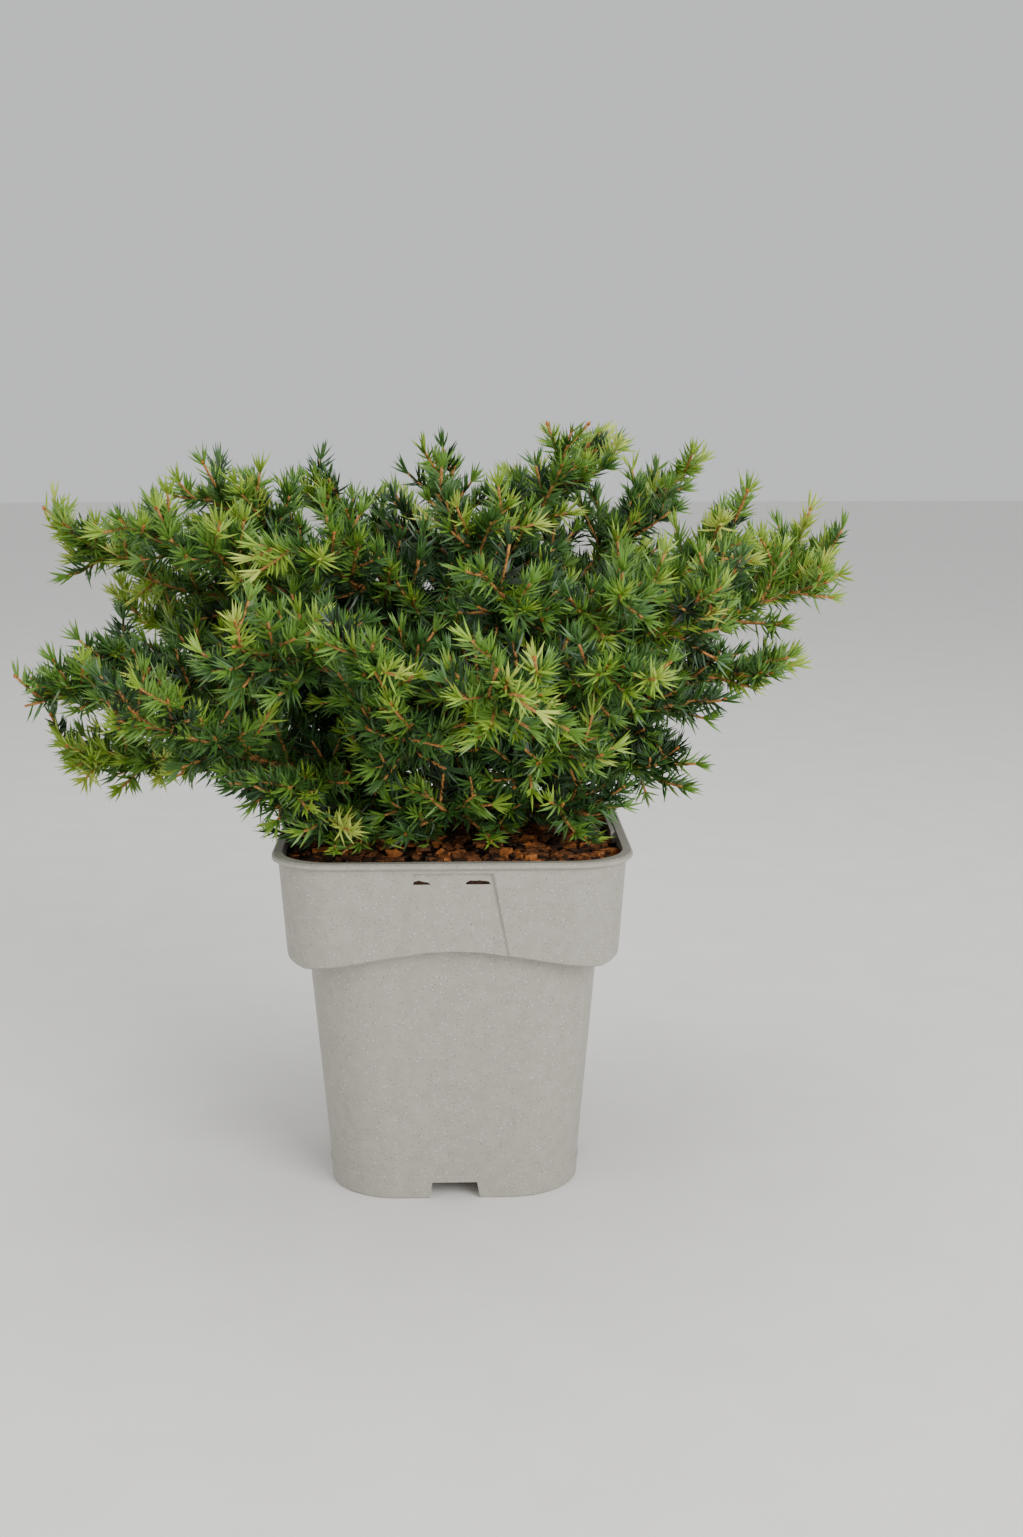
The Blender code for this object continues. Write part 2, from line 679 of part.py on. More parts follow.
def needled_shoot(name, path, room, bare, collection, label):
    """A slim three-sided core whose backward facets are drawn out into needles."""
    rings, middles, along, places = core_rings(path, CORE_PITCH, bare)
    bm = bmesh.new()
    made = [[bm.verts.new(point) for point in ring] for ring in rings]
    bm.faces.new(made[0])
    end = bmesh.ops.poke(bm, faces=[bm.faces.new(made[-1])])["verts"][0]
    end.co = Vector(middles[-1] + along[-1] * TIP_NEEDLE)
    total = places[-1]
    for k, (lower, upper) in enumerate(zip(made, made[1:])):
        for corner in range(STEM_SIDES):
            nxt = (corner + 1) % STEM_SIDES
            bm.faces.new((lower[nxt], upper[nxt], upper[corner]))
            facet = bm.faces.new((lower[corner], lower[nxt], upper[corner]))
            if places[k] < bare:
                continue
            middle = np.array(facet.calc_center_median())
            axis = mix(middles[k], middles[k + 1], 0.35)
            out = middle - axis
            out -= along[k] * out.dot(along[k])
            out /= np.linalg.norm(out)
            share = places[k] / total
            lean = mix(NEEDLE_LEAN, math.radians(25), ease((share - 0.6) / 0.4))
            reach = NEEDLE_LENGTH * mix(1, 0.85, ease(share))
            tip = middle + reach * (out * math.sin(lean) + along[k] * math.cos(lean))
            if room.holds(name, np.array([mix(middle, tip, 0.5), tip]), NEEDLE_MARGIN).all():
                apex = bmesh.ops.poke(bm, faces=[facet])["verts"][0]
                apex.co = Vector(tip)
    return object_from(bm, label, collection)


def outer_body(mesh):
    """Keeps the largest closed body of a mesh: loose scraps are dropped and sealed hollows are filled."""
    bm = bmesh.new()
    bm.from_mesh(mesh)
    bmesh.ops.remove_doubles(bm, verts=bm.verts, dist=0.002 * MM)
    bmesh.ops.dissolve_degenerate(bm, edges=bm.edges, dist=0.001 * MM)
    left = set(bm.faces)
    bodies = []
    while left:
        body, front = set(), [left.pop()]
        while front:
            face = front.pop()
            body.add(face)
            for edge in face.edges:
                for other in edge.link_faces:
                    if other in left:
                        left.remove(other)
                        front.append(other)
        bodies.append(body)
    largest = max(bodies, key=lambda body: sum(face.calc_area() for face in body))
    bmesh.ops.delete(bm, geom=[face for face in bm.faces if face not in largest], context="FACES")
    bm.to_mesh(mesh)
    bm.free()


def fuse(name, shapes, collection, parts, material):
    """One Boolean union of all the shapes in a collection, applied."""
    base = shapes[0]
    for shape in collection.objects[:]:
        if shape is base:
            collection.objects.unlink(shape)
            parts.objects.link(shape)
    modifier = base.modifiers.new("union", "BOOLEAN")
    modifier.operation = "UNION"
    modifier.operand_type = "COLLECTION"
    modifier.collection = collection
    modifier.solver = "EXACT"
    graph = bpy.context.evaluated_depsgraph_get()
    mesh = bpy.data.meshes.new_from_object(base.evaluated_get(graph))
    base.modifiers.clear()
    outer_body(mesh)
    mesh.materials.clear()
    mesh.materials.append(material)
    made = bpy.data.objects.new(name, mesh)
    parts.objects.link(made)
    for shape in shapes:
        bpy.data.objects.remove(shape, do_unlink=True)
    return made


def needle_colour(tip_height):
    share = ease((tip_height - 150) / 140)
    return tuple(mix(low, high, share) for low, high in zip(NEEDLE_SHADE, NEEDLE_SUN))


def make_mass(name, path, room, parts):
    """A limb's outer part: the stem and its side shoots, all needled, fused into one solid."""
    total = path_lengths(path)[-1]
    if name in BOUGH_LIMBS:
        stem = path_at(path, np.linspace(total * BOUGH_SHARE + GAP, total, LIMB_SAMPLES))
        bare = 5 * MM
        crown = stem
    else:
        stem = path
        bare = total * BARE_SHARE
        crown = path_at(path, np.linspace(bare, total, LIMB_SAMPLES))
    sprays = bpy.data.collections.new("sprays")
    bpy.context.scene.collection.children.link(sprays)
    shapes = [needled_shoot(name, stem, room, bare, sprays, f"{name} stem")]
    for k, shoot in enumerate(side_shoots(name, crown)):
        shoot = fitted(name, shoot, room)
        if shoot is not None:
            shapes.append(needled_shoot(name, shoot, room, 5 * MM, sprays, f"{name} shoot {k}"))
    height = (TRUNK_LIMBS | BOUGH_LIMBS)[name][2]
    material = new_material(f"{name} needles", needle_colour(height), 0.6)
    fuse(f"{name}_foliage", shapes, sprays, parts, material)
    bpy.data.collections.remove(sprays)


def main():
    clear_scene()
    parts = new_collection(PLANT)
    cutters = new_collection("cutters")
    make_pot(parts, cutters)
    make_soil(parts, cutters)
    make_trunk(parts)
    paths = place_limbs()
    bark = new_material("young bark", BARK, 0.85)
    for name in BOUGH_LIMBS:
        make_bough(name, paths[name], parts, bark)
    room = Room(paths)
    for name, path in paths.items():
        make_mass(name, path, room, parts)


main()
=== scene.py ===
"""The looks of a potted birds nest spruce: its moulded pot, potting mix, bark, twigs, needles and buds."""

import functools
import json
import math
import random

import bmesh
import bpy
import numpy as np
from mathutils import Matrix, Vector

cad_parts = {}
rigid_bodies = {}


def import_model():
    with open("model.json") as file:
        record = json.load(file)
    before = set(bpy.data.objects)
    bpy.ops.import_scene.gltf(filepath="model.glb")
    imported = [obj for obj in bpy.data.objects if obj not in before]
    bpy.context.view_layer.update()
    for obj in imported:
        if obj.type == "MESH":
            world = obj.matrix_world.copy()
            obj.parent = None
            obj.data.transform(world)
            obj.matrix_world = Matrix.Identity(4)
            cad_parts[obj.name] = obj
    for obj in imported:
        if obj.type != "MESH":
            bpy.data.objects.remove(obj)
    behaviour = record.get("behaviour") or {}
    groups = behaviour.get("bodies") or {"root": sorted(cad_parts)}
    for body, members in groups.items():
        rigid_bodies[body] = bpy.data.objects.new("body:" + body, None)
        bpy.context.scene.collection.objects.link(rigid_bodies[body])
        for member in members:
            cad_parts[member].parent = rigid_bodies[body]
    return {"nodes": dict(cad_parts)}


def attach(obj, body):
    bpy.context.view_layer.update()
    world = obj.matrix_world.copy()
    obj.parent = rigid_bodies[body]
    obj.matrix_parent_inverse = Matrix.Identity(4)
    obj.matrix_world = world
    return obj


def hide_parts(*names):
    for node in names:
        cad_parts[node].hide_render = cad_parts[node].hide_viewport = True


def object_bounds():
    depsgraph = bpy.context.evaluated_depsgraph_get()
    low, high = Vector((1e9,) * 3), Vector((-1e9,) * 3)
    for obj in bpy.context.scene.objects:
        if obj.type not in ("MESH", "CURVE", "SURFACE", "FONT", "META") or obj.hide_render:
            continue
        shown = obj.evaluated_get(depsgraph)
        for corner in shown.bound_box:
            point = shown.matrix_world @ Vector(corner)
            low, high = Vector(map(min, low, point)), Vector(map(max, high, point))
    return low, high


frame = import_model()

bl_info = {
    "name": "Potted Spruce",
    "version": (1, 0, 0),
    "blender": (4, 5, 0),
    "location": "View3D > Sidebar > Spruce",
    "description": "Models a potted birds nest spruce piece by piece",
    "category": "Add Mesh",
}

CAD_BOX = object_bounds()
NODES = list(frame["nodes"])
MM = 0.001
GAP = 0.3 * MM  # clear distance between neighbouring solids

# Pot: a square container of about two litres, with a wide collar round its upper part
RIM_HALF = 70 * MM
POT_HEIGHT = 142.5 * MM
WALL = 1.4 * MM
LIP_RADIUS = 22.7 * MM
LIP_DROP = 2.7 * MM
COLLAR_TOP_HALF = 67.7 * MM
COLLAR_FOOT_HALF = 65.3 * MM
COLLAR_RADIUS = 24 * MM
COLLAR_FOOT = 98.4 * MM
BODY_TOP_HALF = 58.1 * MM
BODY_TOP_RADIUS = 29 * MM
BASE_HALF = 50.4 * MM
BASE_RADIUS = 33.5 * MM
BAND_HEIGHT = 9.6 * MM
BAND_STEP = 0.4 * MM
SKIRT_RISE = 6 * MM  # the collar's lower edge climbs from each corner to the panel
SKIRT_START = 58 * MM
ARCH_RISE = 2.3 * MM  # and arches on under the panel
PANEL_TOP = 138.2 * MM
PANEL_TOP_HALF = 15.5 * MM
PANEL_FOOT_HALF = 22.1 * MM
PANEL_DEPTH = 1.4 * MM
PANEL_DRAFT = 1.2 * MM
CHANNEL_HALF = 10.4 * MM
CHANNEL_TOP_HALF = 8.9 * MM
CHANNEL_HEIGHT = 7 * MM
DRAIN_RADIUS = 4.5 * MM
DRAIN_PLACE = 24 * MM
CORNER_STEPS = 12
EDGE = 0.7 * MM  # the small rounds along the pot's edges
FINE_EDGE = 0.6 * MM
LIP_SLOPE = 0.8 * MM  # how far above its foot the lip has its full width
COLLAR_STEP = 0.5 * MM
BACK_DEPTH = 3.6 * MM  # how far the wall bulges in behind a recess
BACK_DROP = 0.4 * MM  # and how far that ends below the rim

# Potting soil
SOIL_EDGE = 138.4 * MM
SOIL_SEAT = 143.3 * MM  # height of the soil where the trunk stands
SEAT_RADIUS = 13 * MM
LUMP = (50 * MM, 44 * MM, 4 * MM)  # x, y and height of the lump in the right back corner
LUMP_SPREAD = 16 * MM

# Trunk
TRUNK_FOOT = SOIL_SEAT + GAP
TRUNK_TOP = 226 * MM
TRUNK_LEAN = (16 * MM, 5 * MM)
TRUNK_RADIUS = 6.6 * MM
TRUNK_TOP_RADIUS = 2.9 * MM
FLARE = 0.55
FLARE_HEIGHT = 6 * MM
RIDGE_SHARE = 0.35
TRUNK_SLOPE = 0.25  # the most that the trunk leans, as a slope

# Limbs: azimuth in degrees anticlockwise from +X, then reach, height of the tip and height of the foot in mm
BOUGH_LIMBS = {
    "left_low": (181, 155, 172, 186),
    "left_far_low": (193, 161, 203, 184),
    "left_shadow": (158, 144, 221, 190),
    "left_far_high": (174, 157, 258, 196),
    "left_high": (197, 121, 264, 202),
    "left_front_low": (217, 144, 202, 181),
    "left_front_mid": (232, 123, 228, 190),
    "front_left": (256, 122, 221, 188),
    "front": (277, 144, 220, 184),
    "right_mid": (354, 126, 211, 180),
    "right_far_low": (2, 152, 244, 197),
    "right_far_high": (13, 161, 253, 205),
    "back_right": (50, 148, 240, 192),
    "back": (94, 143, 252, 200),
    "back_left": (131, 145, 244, 196),
}
TRUNK_LIMBS = {
    "left_mid": (184, 136, 217, 188),
    "left_top": (172, 102, 277, 221),
    "left_top_inner": (140, 76, 272, 219),
    "left_front_under": (222, 94, 174, 175),
    "left_front_top": (226, 80, 260, 214),
    "front_low": (259, 104, 197, 176),
    "front_high": (283, 92, 245, 208),
    "front_right_mid": (299, 123, 222, 188),
    "front_right_high": (303, 111, 246, 206),
    "front_right_low": (296, 92, 189, 174),
    "right_front": (323, 121, 238, 198),
    "right_front_low": (330, 98, 200, 180),
    "right_top": (341, 112, 260, 207),
    "right_low": (346, 88, 171, 178),
    "right_back_top": (32, 110, 277, 209),
    "leader": (17, 62, 300, 226),
    "top_centre": (292, 30, 267, 218),
    "top_left": (98, 34, 272, 219),
    "back_right_low": (68, 138, 203, 181),
    "back_left_low": (113, 140, 206, 182),
    "back_low": (90, 100, 178, 172),
    "low_front_left": (228, 72, 157, 161),
    "low_front": (268, 60, 160, 158),
    "low_front_right": (317, 72, 157, 160),
    "low_back_right": (38, 72, 158, 163),
    "low_back_left": (142, 70, 160, 162),
}
LIMB_SAG = 0.05  # how far a limb hangs under its chord, as a share of its reach
LIMB_SAMPLES = 25
FOOT_STEP = 1 * MM
FOOT_TRIES = 90
FOOT_ROOM = 5 * MM  # nearest that a limb's foot comes to the trunk's ends
FOOT_SEARCH = 0.001  # step of the search for a limb's start along its curve
SEAT_PLAY = 0.06 * MM  # allowance for the trunk's lean, which is measured level
BOUGH_RADIUS = 2.4 * MM
BOUGH_SIDES = 12  # corners by which a bough's end is held clear of the trunk
TWIG_RADIUS = 1.7 * MM
TIP_RADIUS = 0.9 * MM
BOUGH_SHARE = 0.34  # the part of a long limb that is bare bough
BARE_SHARE = 0.34  # the part of a short limb's stem that has no needles

# Needled shoots
SHOOT_EVERY = 22 * MM
SHOOT_LONG = 38 * MM
SHOOT_SHORT = 17 * MM
SHOOT_LEAST = 13 * MM
SHOOT_ANGLES = (56, 38)  # degrees off the stem, near its foot and near its tip
CORE_MARGIN = 2.4 * MM
STEM_SIDES = 3

# Finer growth than the solids carry
EXTRA_LENGTH = (34 * MM, 15 * MM)
EXTRA_START = 0.5  # extra shoots start this far along a limb's bare stretch
TWIGLET_LENGTH = (18 * MM, 9 * MM)
TWIGLET_ANGLES = (52, 40)
FINE_PLACE = (0.2, 0.8)  # where in its own stretch of the stem a fine shoot grows
FINE_ROLL = 75  # degrees up or down from straight left or right
FINE_SWAY = 8
FINE_RANGE = (0.75, 1.2)
NEEDLE_RANGE = (7.4 * MM, 10.2 * MM)
STEM_START = 0.1  # share of a stem below its first needle
SHOOT_START = 0.02
NEEDLE_LEANS = ([0, 0.7, 1], [62, 52, 26])  # shares of a shoot, and degrees off it there
NEEDLE_SWAY = 9
NEEDLE_RINGS = ((-0.03, 0.36), (0.5, 0.5))  # share of a needle's length, and its girth there
NEEDLE_ROUND = (0.85, 0.25)  # height and rise of the ring that needles point to, so that more point up
NEEDLE_BOW = 0.05  # how far a needle curves up, as shares of its length
NEEDLE_LIFT = 0.1
NEEDLE_PLAY = 1.05
NEEDLE_SEED = 7
TUFT = 10  # needles crowded round a shoot's tip
TUFT_START = 0.95
SHOOT_FRAMES = 12
SPRAY_SPREAD = 0.13  # how much one spray is lighter or darker than the next
# The crown's middle and reach, from which the painted shade that darkens the inner needles is measured
CROWN_MIDDLE = np.array([0, 0, 200 * MM])
CROWN_REACH = np.array([155 * MM, 150 * MM, 100 * MM])
LIGHT_BASE = 0.04  # a needle's lightness, then what it gains outwards (painted shade that darkens the crown's inside), at a shoot's tip (fresh growth) and on top (painted light)
INNER_PAINTED_SHADE = 0.42
LIGHT_TIP = 0.16
PAINTED_TOP_LIGHT = 0.08
TWIG_FEET = (0.95, 0.7)  # radius in mm of a shoot's foot, then of a twiglet's
TWIG_END = 0.5
TWIG_CORNERS = 5
BUD_SHARE = 0.45
BUD_LENGTHS = (1.6, 2.6)
BUD_RADII = (0.45, 0.8, 0.85, 0.5, 0.1)
BUD_CORNERS = 6
EDGE_PLAY = 1.5 * MM  # how far a needle may pass the solids' box
PIECE_NEEDLES = 19000
# Six greens from darkest to palest: the darker ones carry painted shade inside the crown as well as each
# spray's own tone, the paler ones fresh growth and painted light on top
SHADES = {
    "inner": "#1b2a17",
    "dark": "#2a4625",
    "mid": "#42672c",
    "bright": "#648a33",
    "lime": "#8dab3c",
    "fresh": "#b0bf55",
}
SHADE_STEPS = (0.22, 0.37, 0.52, 0.66, 0.80)

# Mix and bark
BED_CELLS = 120
BED_DEPTH = 4 * MM
BED_DROP = 0.8 * MM  # the bed lies this far under the solid's top, and the chips come up to it
BED_GRAIN = 0.35 * MM
BED_WAVE = 0.8 * MM
BED_WAVES = (310, 270)  # radians in a metre, along X and along Y
BED_SEED = 3
CORNER_PULL = 0.093  # how far the bed's corners draw in to the pot's round ones
CHIP_KINDS = (  # name, one for how many of the chips counted, length in mm and tones
    ("chips_dark", 1, (1.2, 4.2), ("#24170f", "#3d2818")),
    ("chips_brown", 2, (1.5, 6), ("#4f3019", "#7a4a26")),
    ("chips_orange", 5, (1.5, 6.5), ("#8a4f22", "#b8733a")),
    ("beads_pale", 40, (1, 2.2), ("#c9c3a8", "#e4dfca")),
)
CHIP_WIDTHS = (0.4, 0.8)  # width and thickness as shares of the length
CHIP_DEPTHS = (0.18, 0.4)
CHIP_STRAY = 0.16  # how far its corners stray, as a share of its size
CHIP_TILT = 0.35
CHIP_LIFT = (-0.4, 0.7)  # mm from the solid's top
CHIP_SPREAD = 0.95
CHIP_CORNER = 1.22
CHIP_TRUNK = 8 * MM
CHIP_FACES = (
    *((0, 1, 3), (0, 3, 2), (4, 6, 7), (4, 7, 5), (0, 4, 5), (0, 5, 1)),
    *((2, 3, 7), (2, 7, 6), (0, 2, 6), (0, 6, 4), (1, 5, 7), (1, 7, 3)),
)
TRUNK_ROWS = 70
TRUNK_CORNERS = 32
TRUNK_RELIEF = 0.06  # height of the bark's plates, as a share of the radius
LIMB_ROWS = 60
LIMB_CORNERS = 10
LIMB_RELIEF = 0.07
LIMB_GIRTH = 0.95  # the bark's mean radius, as a share of the solid's
BARK_SEED = 11

# Finishes
TONE_SPREAD = (0.35, 0.65)  # where the noise turns from the darker tone to the paler one
SPECKS = ((1.4, 0.16, "#6e6a62"), (1.9, 0.13, "#cbc7bc"))  # mm apart, size as a share of that, colour
SHARP_ANGLE = math.radians(12)
NOISE_DETAIL = 4.0
BUMP_STRENGTH = 0.4

# Camera and stage
CAMERA_PLACE = (0, -0.75, 0.30861)
CAMERA_PITCH = 0.18827
CAMERA_PAN = 0.03244
FOCAL = 1857.76
IMAGE_HEIGHT = 1537
SENSOR = 36
FLOOR_SIZE = 12
ROOM_COLOUR = (0.93, 0.94, 0.96, 1)
ROOM_STRENGTH = 0.75
LAMP_AIM = (0, 0, 0.15)
LAMPS = (  # name, place, size in metres and watts
    ("key", (0.9, -1.3, 0.85), 1.0, 26),
    ("fill", (-1.2, -0.9, 0.9), 1.4, 7),
    ("top", (0, 0.1, 1.6), 1.2, 9),
)


# Small helpers


def new_collection(name):
    made = bpy.data.collections.new(name)
    bpy.context.scene.collection.children.link(made)
    return made


def object_from(bm, name, collection):
    """A bmesh as a new object, its faces turned outwards."""
    bmesh.ops.recalc_face_normals(bm, faces=bm.faces)
    mesh = bpy.data.meshes.new(name)
    bm.to_mesh(mesh)
    bm.free()
    made = bpy.data.objects.new(name, mesh)
    collection.objects.link(made)
    return made


def hide_cutter(item):
    item.hide_render = True
    item.display_type = "WIRE"
    return item


def cut(target, cutter):
    modifier = target.modifiers.new(f"cut {cutter.name}", "BOOLEAN")
    modifier.operation = "DIFFERENCE"
    modifier.object = cutter
    modifier.solver = "EXACT"


def loft(bm, rings):
    """Joins closed rings of equally many points, one to the next, and caps both ends."""
    made = [[bm.verts.new(point) for point in ring] for ring in rings]
    for lower, upper in zip(made, made[1:]):
        for k in range(len(lower)):
            nxt = (k + 1) % len(lower)
            bm.faces.new((lower[k], lower[nxt], upper[nxt], upper[k]))
    bm.faces.new(made[0])
    bm.faces.new(made[-1])


def ease(value):
    value = min(max(value, 0.0), 1.0)
    return value * value * (3 - 2 * value)


def mix(first, last, share):
    return first + (last - first) * share


# The pot


def skirt(x, y):
    """How far the collar's lower edge has climbed above its height at the corners."""
    along = min(abs(x), abs(y))
    if along >= PANEL_FOOT_HALF:
        share = (SKIRT_START - along) / (SKIRT_START - PANEL_FOOT_HALF)
        return SKIRT_RISE * min(max(share, 0), 1)
    return SKIRT_RISE + ARCH_RISE * (1 - (along / PANEL_FOOT_HALF) ** 2)


def square_ring(half, radius, height, climbs=False):
    """A square outline with round corners. Where it climbs, it follows the collar's lower edge."""
    stops = [PANEL_FOOT_HALF * share for share in (-1, -0.5, 0, 0.5, 1)]
    side = [(half, stop) for stop in stops if abs(stop) < half - radius]
    middle = half - radius
    for k in range(CORNER_STEPS + 1):
        turn = math.radians(90) * k / CORNER_STEPS
        side.append((middle + radius * math.cos(turn), middle + radius * math.sin(turn)))
    ring = []
    for quarter in range(4):
        c, s = round(math.cos(math.pi / 2 * quarter)), round(math.sin(math.pi / 2 * quarter))
        for x, y in side:
            rise = skirt(x, y) if climbs else 0
            ring.append((c * x - s * y, s * x + c * y, height + rise))
    return ring


def full_ring(half, radius, height, climbs=False):
    """A square ring whose count of points is the same at every size."""
    limit = half - PANEL_FOOT_HALF - 0.1 * MM
    return square_ring(half, min(radius, limit), height, climbs)


def pot_outside():
    lip = POT_HEIGHT - LIP_DROP
    return [
        full_ring(BASE_HALF - FINE_EDGE, BASE_RADIUS, 0),
        full_ring(BASE_HALF, BASE_RADIUS, EDGE),
        full_ring(BASE_HALF + EDGE, BASE_RADIUS, BAND_HEIGHT - BAND_STEP),
        full_ring(BASE_HALF + EDGE - BAND_STEP, BASE_RADIUS, BAND_HEIGHT),
        full_ring(BODY_TOP_HALF, BODY_TOP_RADIUS, COLLAR_FOOT + COLLAR_STEP, True),
        full_ring(COLLAR_FOOT_HALF - EDGE, COLLAR_RADIUS, COLLAR_FOOT, True),
        full_ring(COLLAR_FOOT_HALF, COLLAR_RADIUS, COLLAR_FOOT + EDGE, True),
        full_ring(COLLAR_TOP_HALF, LIP_RADIUS, lip - FINE_EDGE),
        full_ring(RIM_HALF, LIP_RADIUS, lip + LIP_SLOPE),
        full_ring(RIM_HALF, LIP_RADIUS, POT_HEIGHT - FINE_EDGE),
        full_ring(RIM_HALF - EDGE, LIP_RADIUS, POT_HEIGHT),
    ]


def pot_inside():
    """The rings of the pot's hollow, from its floor to past its rim."""
    step = COLLAR_FOOT + COLLAR_STEP + WALL
    return [
        full_ring(BASE_HALF - WALL, BASE_RADIUS - WALL, WALL),
        full_ring(BODY_TOP_HALF - WALL, BODY_TOP_RADIUS - WALL, step, True),
        full_ring(COLLAR_FOOT_HALF - WALL, COLLAR_RADIUS - WALL, step + 0.2 * MM, True),
        full_ring(COLLAR_TOP_HALF - WALL, LIP_RADIUS - WALL, POT_HEIGHT - 1 * MM),
        full_ring(COLLAR_TOP_HALF - WALL, LIP_RADIUS - WALL, POT_HEIGHT + 2 * MM),
    ]


def wedge(name, collection, sections):
    """A block between rectangles, each as (height, half width, nearest, furthest) beside the -Y wall."""
    bm = bmesh.new()
    rings = []
    for height, half, near, far in sections:
        rings.append([(-half, near, height), (half, near, height), (half, far, height), (-half, far, height)])
    loft(bm, rings)
    return hide_cutter(object_from(bm, name, collection))


def around(item, count=4):
    """The item and its copies turned about the Z axis, sharing its mesh."""
    made = [item]
    for k in range(1, count):
        copy = item.copy()
        copy.rotation_euler.z = math.tau * k / count
        for collection in item.users_collection:
            collection.objects.link(copy)
        made.append(copy)
    return made


def panel_width(height):
    share = (PANEL_TOP - height) / (PANEL_TOP - COLLAR_FOOT - SKIRT_RISE)
    return mix(PANEL_TOP_HALF, PANEL_FOOT_HALF, share)


def collar_face(height):
    share = (height - COLLAR_FOOT) / (POT_HEIGHT - LIP_DROP - COLLAR_FOOT)
    return mix(COLLAR_FOOT_HALF, COLLAR_TOP_HALF, share)


def panel_cutters(cutters):
    """The shallow recess in each side of the collar, its side walls drafted."""
    bm = bmesh.new()
    low = COLLAR_FOOT + 2 * MM
    rings = []
    for depth, draft in ((-1 * MM, 0), (0, 0), (PANEL_DEPTH, PANEL_DRAFT)):
        ring = []
        for height, side in ((low, -1), (low, 1), (PANEL_TOP, 1), (PANEL_TOP, -1)):
            half = panel_width(height) - draft
            rise = height - (0.4 * draft if height == PANEL_TOP else 0)
            ring.append((side * half, depth - collar_face(height), rise))
        rings.append(ring)
    loft(bm, rings)
    return around(hide_cutter(object_from(bm, "panel recess", cutters)))


def panel_backs(cutters):
    """The blocks that the wall bulges in by behind each recess, which the hollow leaves out."""
    sections = []
    for height in (COLLAR_FOOT + SKIRT_RISE - 2 * MM, POT_HEIGHT - BACK_DROP):
        face = -collar_face(height)
        sections.append((height, panel_width(height), face - 1 * MM, face + BACK_DEPTH))
    return around(wedge("panel back", cutters, sections))


def channel_bars(cutters, name, extra):
    """The two crossing drain channels under the pot, or, made larger by extra, the ridges over them."""
    long = BASE_HALF + 5 * MM
    bm = bmesh.new()
    rings = []
    for height, half in ((-1 * MM, CHANNEL_HALF), (CHANNEL_HEIGHT, CHANNEL_TOP_HALF)):
        half += extra
        top = height + extra if height > 0 else height
        rings.append([(-half, -long, top), (half, -long, top), (half, long, top), (-half, long, top)])
    loft(bm, rings)
    first = hide_cutter(object_from(bm, name, cutters))
    second = first.copy()
    second.rotation_euler.z = math.radians(90)
    cutters.objects.link(second)
    return [first, second]


def drain_holes(cutters):
    bm = bmesh.new()
    bmesh.ops.create_cone(
        bm, cap_ends=True, segments=12, radius1=DRAIN_RADIUS, radius2=DRAIN_RADIUS, depth=8 * MM
    )
    bmesh.ops.translate(bm, verts=bm.verts, vec=(DRAIN_PLACE, 0, CHANNEL_HEIGHT))
    return around(hide_cutter(object_from(bm, "drain hole", cutters)))


# The potting mix and the limbs


def soil_height(x, y):
    """A low mound, flat where the trunk stands, with a lump in one corner."""
    away = max(abs(x), abs(y), 0.8 * math.hypot(x, y))
    share = (away - SEAT_RADIUS) / (COLLAR_TOP_HALF - WALL - SEAT_RADIUS)
    lump = LUMP[2] * math.exp(-((x - LUMP[0]) ** 2 + (y - LUMP[1]) ** 2) / LUMP_SPREAD**2)
    return mix(SOIL_SEAT, SOIL_EDGE, ease(share)) + lump * ease(share * 2)


def trunk_axis(height):
    """The middle of the trunk at a height: it leans more and more to the right."""
    share = (height - TRUNK_FOOT) / (TRUNK_TOP - TRUNK_FOOT)
    lean = max(share, 0) ** 1.4
    return np.array([TRUNK_LEAN[0] * lean, TRUNK_LEAN[1] * lean, height])


def trunk_radius(height):
    share = (height - TRUNK_FOOT) / (TRUNK_TOP - TRUNK_FOOT)
    return mix(TRUNK_RADIUS, TRUNK_TOP_RADIUS, min(max(share, 0), 1))


def root_flare(height):
    """How much wider than its even taper the trunk is, as a share: most at the soil."""
    return FLARE * math.exp(-(height - TRUNK_FOOT) / FLARE_HEIGHT)


def trunk_room(points):
    """How far points lie outside the trunk's bark, measured level."""
    axis = np.array([trunk_axis(height) for height in points[:, 2]])
    widest = 1 + RIDGE_SHARE
    bark = np.array([trunk_radius(height) * (1 + root_flare(height) * widest) for height in points[:, 2]])
    return np.linalg.norm((points - axis)[:, :2], axis=1) - bark


def end_ring(foot, bend, tip, step, radius, sides):
    """The corners of a limb's flat end, where it starts at this step of its curve."""
    middle = (1 - step) ** 2 * foot + 2 * step * (1 - step) * bend + step**2 * tip
    along = (1 - step) * (bend - foot) + step * (tip - bend)
    along /= np.linalg.norm(along)
    side = np.cross(along, [0, 0, 1])
    side /= np.linalg.norm(side)
    up = np.cross(side, along)
    turns = np.arange(sides)[:, None] * math.tau / sides
    return middle + radius * (side * np.cos(turns) + up * np.sin(turns))


def limb_path(azimuth, reach, tip_height, foot_height, radius, sides):
    """Points from just clear of the trunk's bark to the limb's tip, along an upturned curve."""
    turn = math.radians(azimuth)
    out = np.array([math.cos(turn), math.sin(turn), 0])
    foot = trunk_axis(foot_height)
    tip = out * reach + np.array([0, 0, tip_height])
    bend = mix(foot, tip, 0.5) - np.array([0, 0, LIMB_SAG * reach])
    start = 0
    if foot_height >= TRUNK_TOP:
        along = trunk_axis(TRUNK_TOP) - trunk_axis(TRUNK_TOP - 5 * MM)
        along /= np.linalg.norm(along)
        foot = foot + along * (GAP + radius * TRUNK_SLOPE)
        bend = foot + along * np.linalg.norm(tip - foot) * 0.45
    else:
        while trunk_room(end_ring(foot, bend, tip, start, radius, sides)).min() < GAP + SEAT_PLAY:
            start += FOOT_SEARCH
    steps = np.linspace(start, 1, LIMB_SAMPLES)[:, None]
    return (1 - steps) ** 2 * foot + 2 * steps * (1 - steps) * bend + steps**2 * tip


